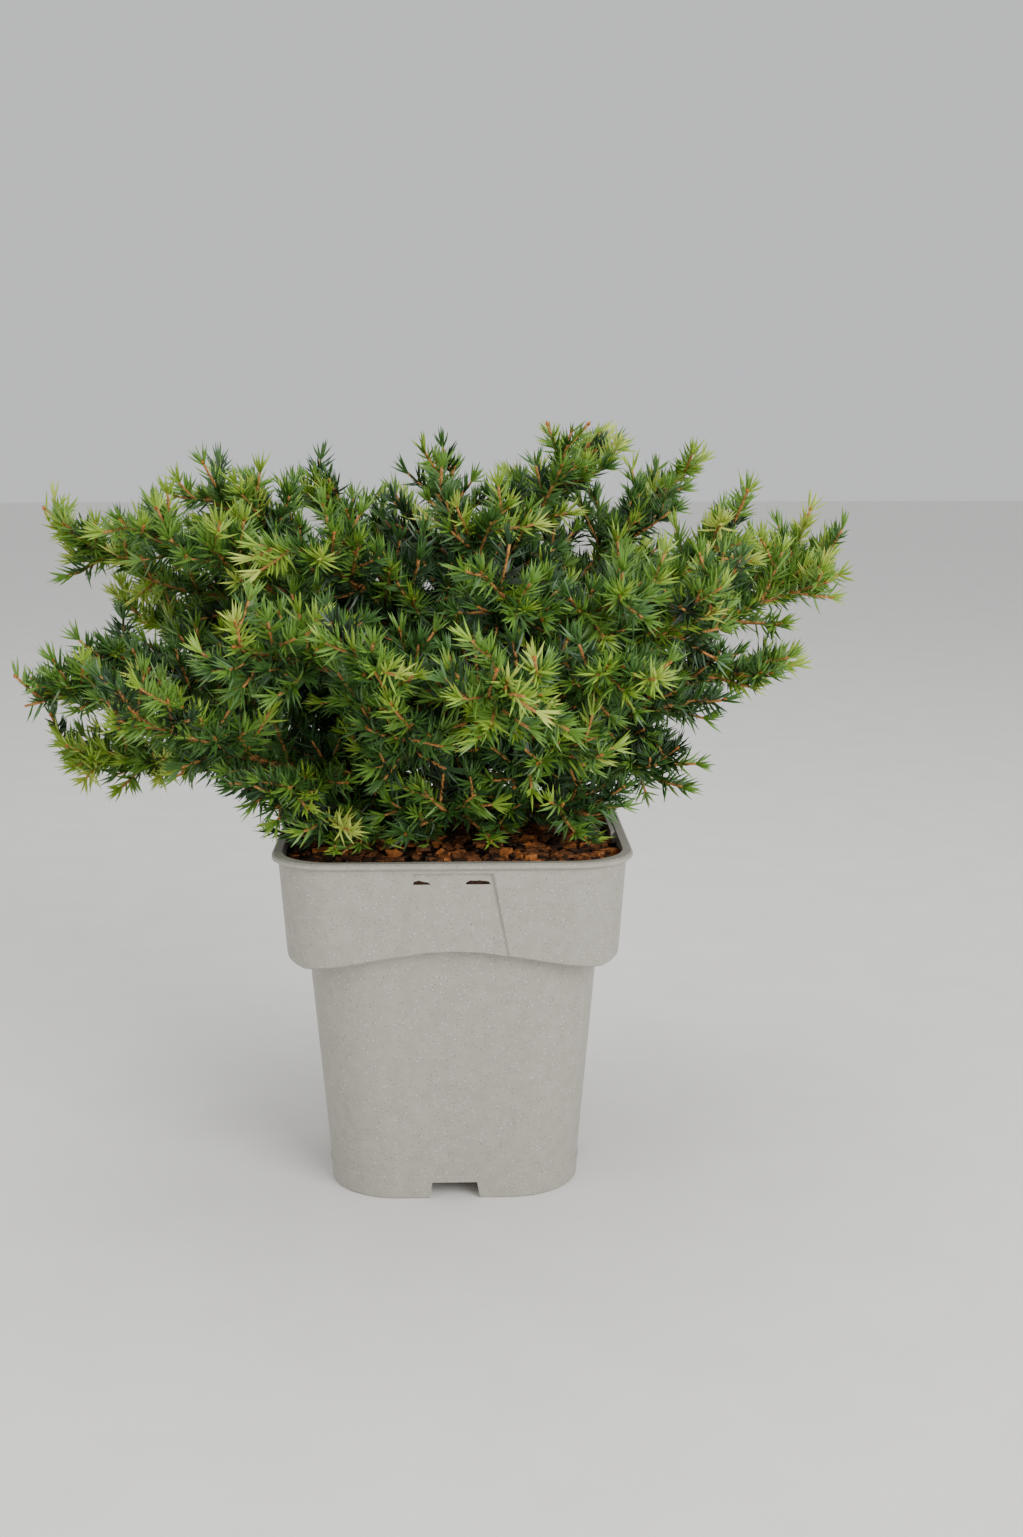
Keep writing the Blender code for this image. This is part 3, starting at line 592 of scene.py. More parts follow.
def segment_distance(points, starts, ends):
    """The distance from each point (rows) to each segment (columns)."""
    along = ends - starts
    size = np.maximum((along * along).sum(axis=1), 1e-18)
    offset = points[:, None, :] - starts[None]
    share = np.clip((offset * along[None]).sum(axis=2) / size, 0, 1)
    return np.linalg.norm(offset - share[..., None] * along[None], axis=2)


def foot_heights(name, foot):
    """The limb's own foot height, then others further and further up and down the trunk."""
    if name == "leader":
        return [foot]
    shifts = [FOOT_STEP * ((k + 1) // 2) * (-1) ** k for k in range(FOOT_TRIES)]
    heights = [foot + shift for shift in shifts]
    return [height for height in heights if TRUNK_FOOT + FOOT_ROOM < height < TRUNK_TOP - FOOT_ROOM]


def place_limbs():
    """Every limb's path, its foot moved up or down the trunk until the limb is clear of those before it."""
    placed = {}
    starts, ends, thick = np.empty((0, 3)), np.empty((0, 3)), np.empty(0)
    for name, (azimuth, reach, tip, foot) in (TRUNK_LIMBS | BOUGH_LIMBS).items():
        radius, sides = (BOUGH_RADIUS, BOUGH_SIDES) if name in BOUGH_LIMBS else (TWIG_RADIUS, STEM_SIDES)
        for height in foot_heights(name, foot * MM):
            path = limb_path(azimuth, reach * MM, tip * MM, height, radius, sides)
            if not placed:
                break
            room = segment_distance(path, starts, ends) - thick[None] - radius
            if room.min() > 2 * GAP:
                break
        else:
            raise ValueError(f"no clear foot for {name}")
        placed[name] = path
        starts = np.vstack([starts, path[:-1]])
        ends = np.vstack([ends, path[1:]])
        thick = np.concatenate([thick, np.full(len(path) - 1, radius)])
    return placed


def path_lengths(path):
    return np.concatenate([[0], np.cumsum(np.linalg.norm(np.diff(path, axis=0), axis=1))])


def path_at(path, distance):
    lengths = path_lengths(path)
    return np.array([np.interp(distance, lengths, path[:, k]) for k in range(3)]).T


def limb_radius(name, share):
    """A limb tapers evenly from its foot to its tip."""
    return mix(BOUGH_RADIUS if name in BOUGH_LIMBS else TWIG_RADIUS, TIP_RADIUS, share)


class Room:
    """Says which places belong to a mass: those nearer to its own stem than to any other, clear of every
    limb, the soil and the pot."""

    def __init__(self, paths):
        stems, limbs = [], []
        for name, path in paths.items():
            total = path_lengths(path)[-1]
            split = total * (BOUGH_SHARE if name in BOUGH_LIMBS else BARE_SHARE)
            stem = path_at(path, np.linspace(split, total, 7))
            stems += [(name, a, b) for a, b in zip(stem, stem[1:])]
            bare = path_at(path, np.linspace(0, split, 6))
            limbs += [(name, a, b) for a, b in zip(bare, bare[1:])]
        self.stem_owner = np.array([row[0] for row in stems])
        self.stem_start, self.stem_end = (np.array([row[k] for row in stems]) for k in (1, 2))
        heights = np.linspace(TRUNK_FOOT, TRUNK_TOP, 6)
        trunk = [trunk_axis(height) for height in heights]
        limbs += [("trunk", a, b) for a, b in zip(trunk, trunk[1:])]
        self.limb_start, self.limb_end = (np.array([row[k] for row in limbs]) for k in (1, 2))
        self.limb_radius = np.array([TRUNK_RADIUS if row[0] == "trunk" else BOUGH_RADIUS for row in limbs])

    def holds(self, name, points, margin):
        """True where a point belongs to the named mass, with this margin."""
        points = np.atleast_2d(points)
        to_stems = segment_distance(points, self.stem_start, self.stem_end)
        own = to_stems[:, self.stem_owner == name].min(axis=1)
        other = to_stems[:, self.stem_owner != name].min(axis=1)
        to_limbs = (segment_distance(points, self.limb_start, self.limb_end) - self.limb_radius).min(axis=1)
        free = (own + 2 * margin < other) & (to_limbs > margin)
        return free & (points[:, 2] > self.floor(points) + margin)

    @staticmethod
    def floor(points):
        """The soil inside the pot's outline, the top of its rim near the wall, and nothing outside."""
        beside = np.abs(points[:, :2]).max(axis=1)
        low = np.where(beside < RIM_HALF + 1 * MM, POT_HEIGHT + 0.5 * MM, -1)
        soil = np.array([soil_height(x, y) for x, y, _ in points])
        return np.maximum(low, np.where(beside < RIM_HALF, soil + 0.6 * MM, -1))


def frame_along(path):
    """For each point of a path, its direction and the two directions square to it."""
    along = np.gradient(path, axis=0)
    along /= np.linalg.norm(along, axis=1)[:, None]
    side = np.cross(along, [0, 0, 1])
    side /= np.maximum(np.linalg.norm(side, axis=1), 1e-9)[:, None]
    return along, side, np.cross(side, along)


def shoot_path(root, direction, length):
    """A shoot leaves at its angle and turns up a little towards its tip."""
    steps = np.linspace(0, 1, 8)[:, None]
    lift = np.array([0, 0, 0.12 * length])
    return root + direction * length * steps + lift * steps**2


def side_shoots(name, stem):
    """Paths of the side shoots along a stem, left and right by turns, longest near its foot."""
    total = path_lengths(stem)[-1]
    count = max(2, round(total / SHOOT_EVERY))
    shoots = []
    for k in range(count):
        rng = random.Random(f"{name} shoot {k}")
        share = (k + 0.45) / (count + 0.3)
        here = path_at(stem, np.array([share * total - 1 * MM, share * total, share * total + 1 * MM]))
        along, side, up = (axis[1] for axis in frame_along(here))
        roll = math.radians((0 if k % 2 else 180) + rng.uniform(-38, 38))
        angle = math.radians(mix(*SHOOT_ANGLES, share) + rng.uniform(-6, 6))
        out = side * math.cos(roll) + up * math.sin(roll)
        direction = along * math.cos(angle) + out * math.sin(angle)
        length = mix(SHOOT_LONG, SHOOT_SHORT, share) * rng.uniform(0.85, 1.15)
        shoots.append(shoot_path(here[1], direction, length))
    return shoots


def fitted(name, path, room):
    """The shoot's path, shortened until all of it belongs to the mass, or None where too little is left."""
    beyond = path_at(path, np.linspace(7 * MM, path_lengths(path)[-1], 10))
    held = room.holds(name, beyond, CORE_MARGIN)
    if held.all():
        return path
    first = int(np.argmin(held))
    length = path_lengths(beyond)[max(first - 1, 0)] + 7 * MM
    if length < SHOOT_LEAST:
        return None
    return path_at(path, np.linspace(0, length, 8))


# Materials


def linear(code):
    """An sRGB hex colour as linear RGBA."""
    parts = [int(code[k : k + 2], 16) / 255 for k in (1, 3, 5)]
    return (*(v / 12.92 if v <= 0.04045 else ((v + 0.055) / 1.055) ** 2.4 for v in parts), 1)


def add_node(tree, kind, settings=(), **sockets):
    """A node with its settings, and each named socket linked or set."""
    node = tree.nodes.new(kind)
    for key, value in dict(settings).items():
        setattr(node, key, value)
    for key, value in sockets.items():
        socket = node.inputs[key.replace("_", " ")]
        if isinstance(value, bpy.types.NodeSocket):
            tree.links.new(value, socket)
        else:
            socket.default_value = value
    return node


def pattern_scale(size_mm):
    """Texture scale for a pattern that repeats at a real size."""
    return 1000 / size_mm


def surface(name, low, high, grain_mm, roughness, bump_mm, specular):
    """A material whose colour wanders between two linear tones at a real grain size, with a fine relief."""
    made = bpy.data.materials.new(name)
    made.use_nodes = True
    tree = made.node_tree
    shader = tree.nodes["Principled BSDF"]
    place = add_node(tree, "ShaderNodeTexCoord").outputs["Object"]
    noise = add_node(tree, "ShaderNodeTexNoise", Vector=place, Scale=pattern_scale(grain_mm))
    noise.inputs["Detail"].default_value = NOISE_DETAIL
    ramp = add_node(tree, "ShaderNodeValToRGB", Fac=noise.outputs["Fac"])
    for element, position, tone in zip(ramp.color_ramp.elements, TONE_SPREAD, (low, high)):
        element.position = position
        element.color = tone
    tree.links.new(ramp.outputs["Color"], shader.inputs["Base Color"])
    bump = add_node(
        tree, "ShaderNodeBump", Height=noise.outputs["Fac"], Strength=BUMP_STRENGTH, Distance=bump_mm * MM
    )
    tree.links.new(bump.outputs["Normal"], shader.inputs["Normal"])
    shader.inputs["Roughness"].default_value = roughness
    shader.inputs["Specular IOR Level"].default_value = specular
    return made


def moulded_polypropylene(low, high):
    """Recycled polypropylene, injection moulded: warm grey, satin, with fine dark and pale specks."""
    made = surface(
        "moulded_polypropylene", low, high, grain_mm=5, roughness=0.52, bump_mm=0.05, specular=0.4
    )
    tree = made.node_tree
    base = tree.nodes["Principled BSDF"].inputs["Base Color"]
    tone = base.links[0].from_socket
    place = add_node(tree, "ShaderNodeTexCoord").outputs["Object"]
    for apart_mm, size, code in SPECKS:
        cells = add_node(tree, "ShaderNodeTexVoronoi", Vector=place, Scale=pattern_scale(apart_mm))
        speck = add_node(
            tree, "ShaderNodeMath", {"operation": "LESS_THAN"}, Value=cells.outputs["Distance"]
        )
        speck.inputs[1].default_value = size
        blend = add_node(tree, "ShaderNodeMix", {"data_type": "RGBA"})
        tree.links.new(speck.outputs[0], blend.inputs["Factor"])
        tree.links.new(tone, blend.inputs[6])
        blend.inputs[7].default_value = linear(code)
        tone = blend.outputs[2]
    tree.links.new(tone, base)
    return made


def scaly_bark(low, high):
    """Old spruce bark: small rough plates, dull, brown with paler edges."""
    return surface("scaly_bark", low, high, grain_mm=1.6, roughness=0.9, bump_mm=0.5, specular=0.25)


def young_bark(low, high):
    """Bark of a few years' growth: finely ridged, orange-brown, nearly matt."""
    return surface("young_bark", low, high, grain_mm=1.1, roughness=0.8, bump_mm=0.3, specular=0.3)


def shoot_bark():
    """This year's and last year's shoots: smooth and warmer than the older bark."""
    tones = linear("#8a5a30"), linear("#bd8a4d")
    return surface("shoot_bark", *tones, grain_mm=0.9, roughness=0.7, bump_mm=0.2, specular=0.3)


def bud_scales():
    """Resin-coated winter buds: chestnut, with a little gloss."""
    tones = linear("#7d4219"), linear("#c07a35")
    return surface("bud_scales", *tones, grain_mm=0.6, roughness=0.55, bump_mm=0.1, specular=0.4)


def moist_peat():
    """Moist peat: nearly black, with brown crumbs and no gloss."""
    tones = linear("#170f0a"), linear("#3a2517")
    return surface("moist_peat", *tones, grain_mm=2.2, roughness=0.95, bump_mm=0.6, specular=0.2)


def bark_chip(name, tones):
    """Composted pine bark, or a pale mineral bead: dry, rough and dull, each kind in its own two tones."""
    low, high = (linear(code) for code in tones)
    return surface(name, low, high, grain_mm=1.5, roughness=0.85, bump_mm=0.2, specular=0.3)


def waxy_needle(shade):
    """Spruce needles under their wax: one plain green of the six, with a satin sheen; the darker greens carry
    painted shade inside the crown, the paler ones painted light on top.
    """
    tone = linear(SHADES[shade])
    name = f"needle_{shade}"
    return surface(name, tone, tone, grain_mm=5, roughness=0.42, bump_mm=0.02, specular=0.45)


def pale_card():
    """The sheet that the plant stands on: plain, nearly white, and matt enough to take a soft shadow."""
    tones = linear("#e9e7e3"), linear("#edebe7")
    return surface("pale_floor", *tones, grain_mm=40, roughness=0.7, bump_mm=0.01, specular=0.2)


# Meshes


def dress(piece, material, slot, *nodes):
    """Gives a finished piece its material and its body, and hides the solids that it stands for; the slot is
    not used.
    """
    piece.data.materials.clear()
    piece.data.materials.append(material)
    if nodes:
        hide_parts(*nodes)
    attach(piece, "root")


def from_arrays(name, points, triangles, smooth):
    """One joined mesh object from arrays of points and triangles."""
    points = np.asarray(points, np.float32)
    triangles = np.asarray(triangles, np.int32)
    mesh = bpy.data.meshes.new(name)
    mesh.vertices.add(len(points))
    mesh.vertices.foreach_set("co", points.ravel())
    mesh.loops.add(triangles.size)
    mesh.loops.foreach_set("vertex_index", triangles.ravel())
    mesh.polygons.add(len(triangles))
    mesh.polygons.foreach_set("loop_start", np.arange(0, triangles.size, 3, dtype=np.int32))
    mesh.polygons.foreach_set("use_smooth", np.full(len(triangles), smooth))
    mesh.update(calc_edges=True)
    made = bpy.data.objects.new(name, mesh)
    bpy.context.scene.collection.objects.link(made)
    return made


class Gather:
    """Collects many small closed shapes into one mesh."""

    def __init__(self):
        self.points, self.triangles, self.count = [], [], 0

    def add(self, points, triangles):
        self.points.append(np.asarray(points))
        self.triangles.append(np.asarray(triangles) + self.count)
        self.count += len(points)

    def piece(self, name, smooth=True):
        return from_arrays(name, np.vstack(self.points), np.vstack(self.triangles), smooth)


def tube(path, radii, sides, relief=0):
    """A closed tube along a path. relief gives each corner a share to add to its radius."""
    along, side, up = frame_along(path)
    turns = np.arange(sides) * math.tau / sides
    reach = radii[:, None] * (1 + relief * np.ones((len(path), sides)))
    ring = side[:, None] * np.cos(turns)[None, :, None] + up[:, None] * np.sin(turns)[None, :, None]
    points = (path[:, None] + ring * reach[..., None]).reshape(-1, 3)
    points = np.vstack([points, path[0], path[-1]])
    triangles = []
    for k in range(len(path) - 1):
        for c in range(sides):
            a, b = k * sides + c, k * sides + (c + 1) % sides
            triangles += [(a, a + sides, b + sides), (a, b + sides, b)]
    last = (len(path) - 1) * sides
    for c in range(sides):
        nxt = (c + 1) % sides
        triangles += [(len(points) - 2, c, nxt), (len(points) - 1, last + nxt, last + c)]
    return points, triangles


def bark_relief(rng, rows, sides, depth):
    """Long ridges broken by plates, as shares of the radius."""
    ridges = rng.normal(0, 1, sides)
    plates = rng.normal(0, 1, (rows, sides))
    smooth = (plates + np.roll(plates, 1, 0) + np.roll(plates, 1, 1)) / 3
    return depth * (0.5 * ridges[None] + smooth)


# Growth


def inside(points):
    """True where points stay in the plant's reach, above the mix and the pot."""
    low, high = (np.array(corner) for corner in CAD_BOX)
    held = ((points > low - EDGE_PLAY) & (points < high + EDGE_PLAY)).all(axis=1)
    return held & (points[:, 2] > Room.floor(points) + 1 * MM)


def shoots_along(label, stem, every, lengths, angles):
    """Side shoots along a stem by a seeded rule, all round it but more to its sides."""
    total = path_lengths(stem)[-1]
    count = max(1, round(total / every))
    made = []
    for k in range(count):
        rng = random.Random(f"{label} {k}")
        share = (k + rng.uniform(*FINE_PLACE)) / count
        here = path_at(stem, np.array([share * total - 1 * MM, share * total, share * total + 1 * MM]))
        along, side, up = (axis[1] for axis in frame_along(here))
        roll = math.radians((0 if k % 2 else 180) + rng.uniform(-FINE_ROLL, FINE_ROLL))
        angle = math.radians(mix(*angles, share) + rng.uniform(-FINE_SWAY, FINE_SWAY))
        out = side * math.cos(roll) + up * math.sin(roll)
        length = mix(*lengths, share) * rng.uniform(*FINE_RANGE)
        shoot = shoot_path(here[1], along * math.cos(angle) + out * math.sin(angle), length)
        if inside(shoot[2:]).all():
            made.append(shoot)
    return made


@functools.cache
def grow(extra_every, twiglet_every):
    """Every needled shoot as (path, level): stems, the solids' own side shoots, extra shoots and twiglets."""
    paths = place_limbs()
    room = Room(paths)
    shoots = []
    for name, path in paths.items():
        total = path_lengths(path)[-1]
        bare = total * (BOUGH_SHARE if name in BOUGH_LIMBS else BARE_SHARE)
        crown = path_at(path, np.linspace(bare, total, LIMB_SAMPLES))
        shoots.append((crown, 0))
        own = [fitted(name, shoot, room) for shoot in side_shoots(name, crown)]
        own = [shoot for shoot in own if shoot is not None]
        early = path_at(path, np.linspace(EXTRA_START * bare, total, LIMB_SAMPLES))
        own += shoots_along(f"{name} extra", early, extra_every, EXTRA_LENGTH, SHOOT_ANGLES)
        for k, shoot in enumerate(own):
            shoots.append((shoot, 1))
            label = f"{name} {k} twiglet"
            finer = shoots_along(label, shoot, twiglet_every, TWIGLET_LENGTH, TWIGLET_ANGLES)
            shoots += [(twiglet, 2) for twiglet in finer]
    return paths, shoots


def grown(context):
    """The limbs and the shoots at the user's spacings, grown once for the three operators that ask."""
    sizes = context.scene.spruce_sizes
    return grow(sizes.shoot_spacing_mm * MM, sizes.twiglet_spacing_mm * MM)


def shoot_needles(path, level, per_mm, rng):
    """Root, direction, length and lightness of the needles of one shoot, with a tuft at its tip. The
    lightness holds painted shade inside the crown and painted light on top, besides fresh growth and each
    spray's own tone.
    """
    total = path_lengths(path)[-1]
    count = int(total / MM * per_mm) + TUFT
    share = np.sort(rng.uniform(SHOOT_START if level else STEM_START, 1, count))
    share[-TUFT:] = rng.uniform(TUFT_START, 1, TUFT)
    pick = (share * (SHOOT_FRAMES - 1)).round().astype(int)
    frames = frame_along(path_at(path, np.linspace(0, total, SHOOT_FRAMES)))
    along, side, up = (axis[pick] for axis in frames)
    roll = rng.uniform(0, math.tau, count)
    lean = np.radians(np.interp(share, *NEEDLE_LEANS) + rng.normal(0, NEEDLE_SWAY, count))
    height, rise = NEEDLE_ROUND
    out = side * np.cos(roll)[:, None] + up * (np.sin(roll) * height + rise)[:, None]
    out /= np.linalg.norm(out, axis=1)[:, None]
    way = along * np.cos(lean)[:, None] + out * np.sin(lean)[:, None]
    size = rng.uniform(*NEEDLE_RANGE, count)
    spray = rng.normal(0, SPRAY_SPREAD)
    # Painted shade darkens needles towards the crown's middle; fresh growth makes the tip paler, painted
    # light brightens needles that point up, and each spray has its own tone
    outward = np.linalg.norm((path[-1] - CROWN_MIDDLE) / CROWN_REACH)
    light = LIGHT_BASE + INNER_PAINTED_SHADE * outward + LIGHT_TIP * share**3 + PAINTED_TOP_LIGHT * up[:, 2] + spray
    return path_at(path, share * total), way, size, light


def needle_rows(shoots, per_mm):
    """The needles of every shoot that stay inside the plant's reach."""
    rng = np.random.default_rng(NEEDLE_SEED)
    rows = [shoot_needles(path, level, per_mm, rng) for path, level in shoots]
    roots, ways, sizes, lights = (np.concatenate(column) for column in zip(*rows))
    held = inside(roots + ways * sizes[:, None] * NEEDLE_PLAY)
    return roots[held], ways[held], sizes[held], lights[held]


def needle_shapes(roots, ways, sizes, width):
    """Three-sided needles, widest at their middle, curving up to a point."""
    count = len(roots)
    side = np.cross(ways, [0, 0, 1.0])
    side /= np.maximum(np.linalg.norm(side, axis=1), 1e-6)[:, None]
    up = np.cross(side, ways)
    points = np.empty((count, 7, 3))
    for row, (share, girth) in enumerate(NEEDLE_RINGS):
        bow = sizes * NEEDLE_BOW * max(share, 0)
        centre = roots + ways * (sizes * share)[:, None] + up * bow[:, None]
        for corner in range(3):
            turn = math.radians(90 + 120 * corner)
            out = side * math.cos(turn) + up * math.sin(turn)
            points[:, 3 * row + corner] = centre + width * girth * out
    points[:, 6] = roots + ways * sizes[:, None] + up * (sizes * NEEDLE_LIFT)[:, None]
    faces = [(0, 1, 2)]
    for a in range(3):
        b = (a + 1) % 3
        faces += [(a, a + 3, b + 3), (a, b + 3, b), (a + 3, 6, b + 3)]
    faces = np.array(faces)[None] + 7 * np.arange(count)[:, None, None]
    return points.reshape(-1, 3), faces.reshape(-1, 3)


# Pieces


def mould_pot(context):
    """The pot's shell, its hollow and all its cuts made and applied."""
    cutters = new_collection("cutters")
    bm = bmesh.new()
    loft(bm, pot_outside())
    pot = object_from(bm, "pot_shell", context.scene.collection)
    bm = bmesh.new()
    loft(bm, pot_inside())
    hollow = hide_cutter(object_from(bm, "hollow", cutters))
    for block in panel_backs(cutters) + channel_bars(cutters, "floor ridge", WALL):
        cut(hollow, block)
    cut(pot, hollow)
    for cutter in panel_cutters(cutters) + channel_bars(cutters, "drain channel", 0) + drain_holes(cutters):
        cut(pot, cutter)
    mesh = bpy.data.meshes.new_from_object(pot.evaluated_get(context.evaluated_depsgraph_get()))
    pot.modifiers.clear()
    pot.data = mesh
    for item in list(cutters.objects):
        bpy.data.objects.remove(item, do_unlink=True)
    bpy.data.collections.remove(cutters)
    mesh.shade_smooth()
    mesh.set_sharp_from_angle(angle=SHARP_ANGLE)
    return pot


def mix_bed(context, half):
    """The top of the mix: a grid drawn in at its corners, roughened, and given a depth."""
    bpy.ops.mesh.primitive_grid_add(x_subdivisions=BED_CELLS, y_subdivisions=BED_CELLS, size=2)
    bed = context.object
    bed.name = "mix_bed"
    rng = np.random.default_rng(BED_SEED)
    for vertex in bed.data.vertices:
        x, y, _ = vertex.co
        edge = max(abs(x), abs(y))
        diagonal = min(abs(x), abs(y)) / max(edge, 1e-6)
        pull = 1 - CORNER_PULL * edge**3 * diagonal**5
        x, y = x * half * pull, y * half * pull
        wave = math.sin(x * BED_WAVES[0] + 2) * math.sin(y * BED_WAVES[1])
        rough = rng.normal(0, BED_GRAIN) + BED_WAVE * wave
        vertex.co = (x, y, soil_height(x, y) - BED_DROP + rough * (1 - edge**8))
    thick = bed.modifiers.new("depth", "SOLIDIFY")
    thick.thickness = BED_DEPTH
    thick.offset = -1
    bpy.ops.object.modifier_apply(modifier=thick.name)
    bed.data.shade_smooth()
    return bed


def chip(draw, x, y, lengths):
    """The corners of one uneven chip, turned and tilted where it lies."""
    length = draw.uniform(*lengths) * MM
    shape = np.array([length, length * draw.uniform(*CHIP_WIDTHS), length * draw.uniform(*CHIP_DEPTHS)])
    block = np.array([(a, b, c) for a in (-1, 1) for b in (-1, 1) for c in (-1, 1)]) * 0.5
    block = (block + draw.uniform(-CHIP_STRAY, CHIP_STRAY, (8, 3))) * shape
    turn, tilt = draw.uniform(0, math.tau), draw.normal(0, CHIP_TILT)
    turned = np.array([[math.cos(turn), -math.sin(turn), 0], [math.sin(turn), math.cos(turn), 0], [0, 0, 1]])
    tilted = np.array([[1, 0, 0], [0, math.cos(tilt), -math.sin(tilt)], [0, math.sin(tilt), math.cos(tilt)]])
    place = np.array([x, y, soil_height(x, y) + draw.uniform(*CHIP_LIFT) * MM])
    return block @ (turned @ tilted).T + place


def scatter(name, count, lengths, half):
    """Chips of one kind strewn over the mix, clear of the trunk and of the pot's corners."""
    gather = Gather()
    draw = np.random.default_rng(len(name) * 7)
    for _ in range(count):
        x, y = draw.uniform(-CHIP_SPREAD, CHIP_SPREAD, 2) * half
        if CHIP_TRUNK <= math.hypot(x, y) <= CHIP_CORNER * half:
            gather.add(chip(draw, x, y, lengths), CHIP_FACES)
    return gather.piece(name, smooth=False)


def bark_pieces(paths):
    """The trunk, and all the limbs joined, both with their bark's relief."""
    rng = np.random.default_rng(BARK_SEED)
    heights = np.linspace(TRUNK_FOOT, TRUNK_TOP, TRUNK_ROWS)
    middle = np.array([trunk_axis(height) for height in heights])
    radii = np.array([trunk_radius(height) * (1 + root_flare(height)) for height in heights])
    trunk = Gather()
    relief = bark_relief(rng, TRUNK_ROWS, TRUNK_CORNERS, TRUNK_RELIEF)
    trunk.add(*tube(middle, radii, TRUNK_CORNERS, relief))
    limbs = Gather()
    for name, limb in paths.items():
        stem = path_at(limb, np.linspace(0, path_lengths(limb)[-1], LIMB_ROWS))
        shares = np.arange(LIMB_ROWS) / (LIMB_ROWS - 1)
        radii = np.array([limb_radius(name, share) for share in shares]) * LIMB_GIRTH
        relief = bark_relief(rng, LIMB_ROWS, LIMB_CORNERS, LIMB_RELIEF)
        limbs.add(*tube(stem, radii, LIMB_CORNERS, relief))
    return trunk.piece("trunk_bark"), limbs.piece("bough_bark")


def twig_pieces(shoots):
    """All the twigs joined, and the buds that some of them end in."""
    twigs, buds = Gather(), Gather()
    draw = random.Random("buds")
    for path, level in shoots:
        if level:
            radii = np.linspace(TWIG_FEET[level - 1], TWIG_END, len(path)) * MM
            twigs.add(*tube(path, radii, TWIG_CORNERS))
        if draw.random() < BUD_SHARE:
            along = path[-1] - path[-2]
            along /= np.linalg.norm(along)
            size = draw.uniform(*BUD_LENGTHS) * MM
            line = path[-1] + along * size * np.linspace(0, 1, len(BUD_RADII))[:, None]
            buds.add(*tube(line, np.array(BUD_RADII) * MM, BUD_CORNERS))
    return twigs.piece("twigs"), buds.piece("buds")


def add_lamp(context, name, place, size, power):
    """A square soft light that faces the plant."""
    lamp = bpy.data.lights.new(name, "AREA")
    lamp.size = size
    lamp.energy = power
    item = bpy.data.objects.new(name, lamp)
    item.location = place
    item.rotation_euler = (Vector(LAMP_AIM) - Vector(place)).to_track_quat("-Z", "Y").to_euler()
    context.scene.collection.objects.link(item)


def add_camera(context):
    lens = bpy.data.cameras.new("camera")
    lens.sensor_fit = "VERTICAL"
    lens.sensor_height = SENSOR
    lens.lens = SENSOR * FOCAL / IMAGE_HEIGHT
    camera = bpy.data.objects.new("camera", lens)
    camera.location = CAMERA_PLACE
    forward = (
        math.sin(CAMERA_PAN) * math.cos(CAMERA_PITCH),
        math.cos(CAMERA_PAN) * math.cos(CAMERA_PITCH),
        -math.sin(CAMERA_PITCH),
    )
    camera.rotation_euler = Vector(forward).to_track_quat("-Z", "Y").to_euler()
    context.scene.collection.objects.link(camera)
    context.scene.camera = camera


# The add-on


def colour(label, code):
    """A colour property whose default is an sRGB hex value."""
    return bpy.props.FloatVectorProperty(
        name=label, description=f"{label}, linear", subtype="COLOR", min=0, max=1, default=linear(code)[:3]
    )


class SpruceSizes(bpy.types.PropertyGroup):
    """The sizes and counts that a user would change."""

    needle_width: bpy.props.FloatProperty(
        name="Needle width", description="Width across a needle", default=1.05 * MM, unit="LENGTH"
    )
    needles_per_cm: bpy.props.IntProperty(
        name="Needles per cm", description="How many needles a centimetre of shoot bears", default=21, min=1
    )
    shoot_spacing_mm: bpy.props.IntProperty(
        name="Shoot spacing, mm", description="Distance between a limb's extra shoots", default=8, min=1
    )
    twiglet_spacing_mm: bpy.props.IntProperty(
        name="Twiglet spacing, mm", description="Distance between a shoot's twiglets", default=10, min=1
    )
    chip_count: bpy.props.IntProperty(
        name="Bark chips", description="How many dark chips lie in the mix", default=1500
    )


class SpruceColours(bpy.types.PropertyGroup):
    """The two tones that each made or woody surface wanders between."""

    pot_low: colour("Pot, darker", "#9b978c")
    pot_high: colour("Pot, paler", "#a29e93")
    trunk_low: colour("Trunk, darker", "#3b2a1e")
    trunk_high: colour("Trunk, paler", "#7d6149")
    bough_low: colour("Boughs, darker", "#6d4526")
    bough_high: colour("Boughs, paler", "#a8763f")


class SPRUCE_OT_pot(bpy.types.Operator):
    """Moulds the pot, its collar, recesses and channels"""

    bl_idname = "spruce.pot"
    bl_label = "Pot"

    def execute(self, context):
        tones = context.scene.spruce_colours
        plastic = moulded_polypropylene((*tones.pot_low, 1), (*tones.pot_high, 1))
        dress(mould_pot(context), plastic, "pot_plastic", "pot")
        return {"FINISHED"}


class SPRUCE_OT_mix(bpy.types.Operator):
    """Lays the potting mix with its bark chips and pale beads"""

    bl_idname = "spruce.mix"
    bl_label = "Potting mix"

    def execute(self, context):
        half = collar_face(SOIL_EDGE) - WALL - GAP
        dress(mix_bed(context, half), moist_peat(), "potting_mix", "potting_soil")
        chips = context.scene.spruce_sizes.chip_count
        for name, one_in, lengths, tones in CHIP_KINDS:
            piece = scatter(name, chips // one_in, lengths, half)
            dress(piece, bark_chip(name, tones), "potting_mix")
        return {"FINISHED"}


class SPRUCE_OT_bark(bpy.types.Operator):
    """Models the trunk and the boughs with their bark's relief"""

    bl_idname = "spruce.bark"
    bl_label = "Trunk and boughs"

    def execute(self, context):
        tones = context.scene.spruce_colours
        trunk, limbs = bark_pieces(grown(context)[0])
        dress(trunk, scaly_bark((*tones.trunk_low, 1), (*tones.trunk_high, 1)), "old_bark", "trunk")
        boughs = [node for node in NODES if node.endswith("_bough")]
        dress(limbs, young_bark((*tones.bough_low, 1), (*tones.bough_high, 1)), "young_bark", *boughs)
        return {"FINISHED"}


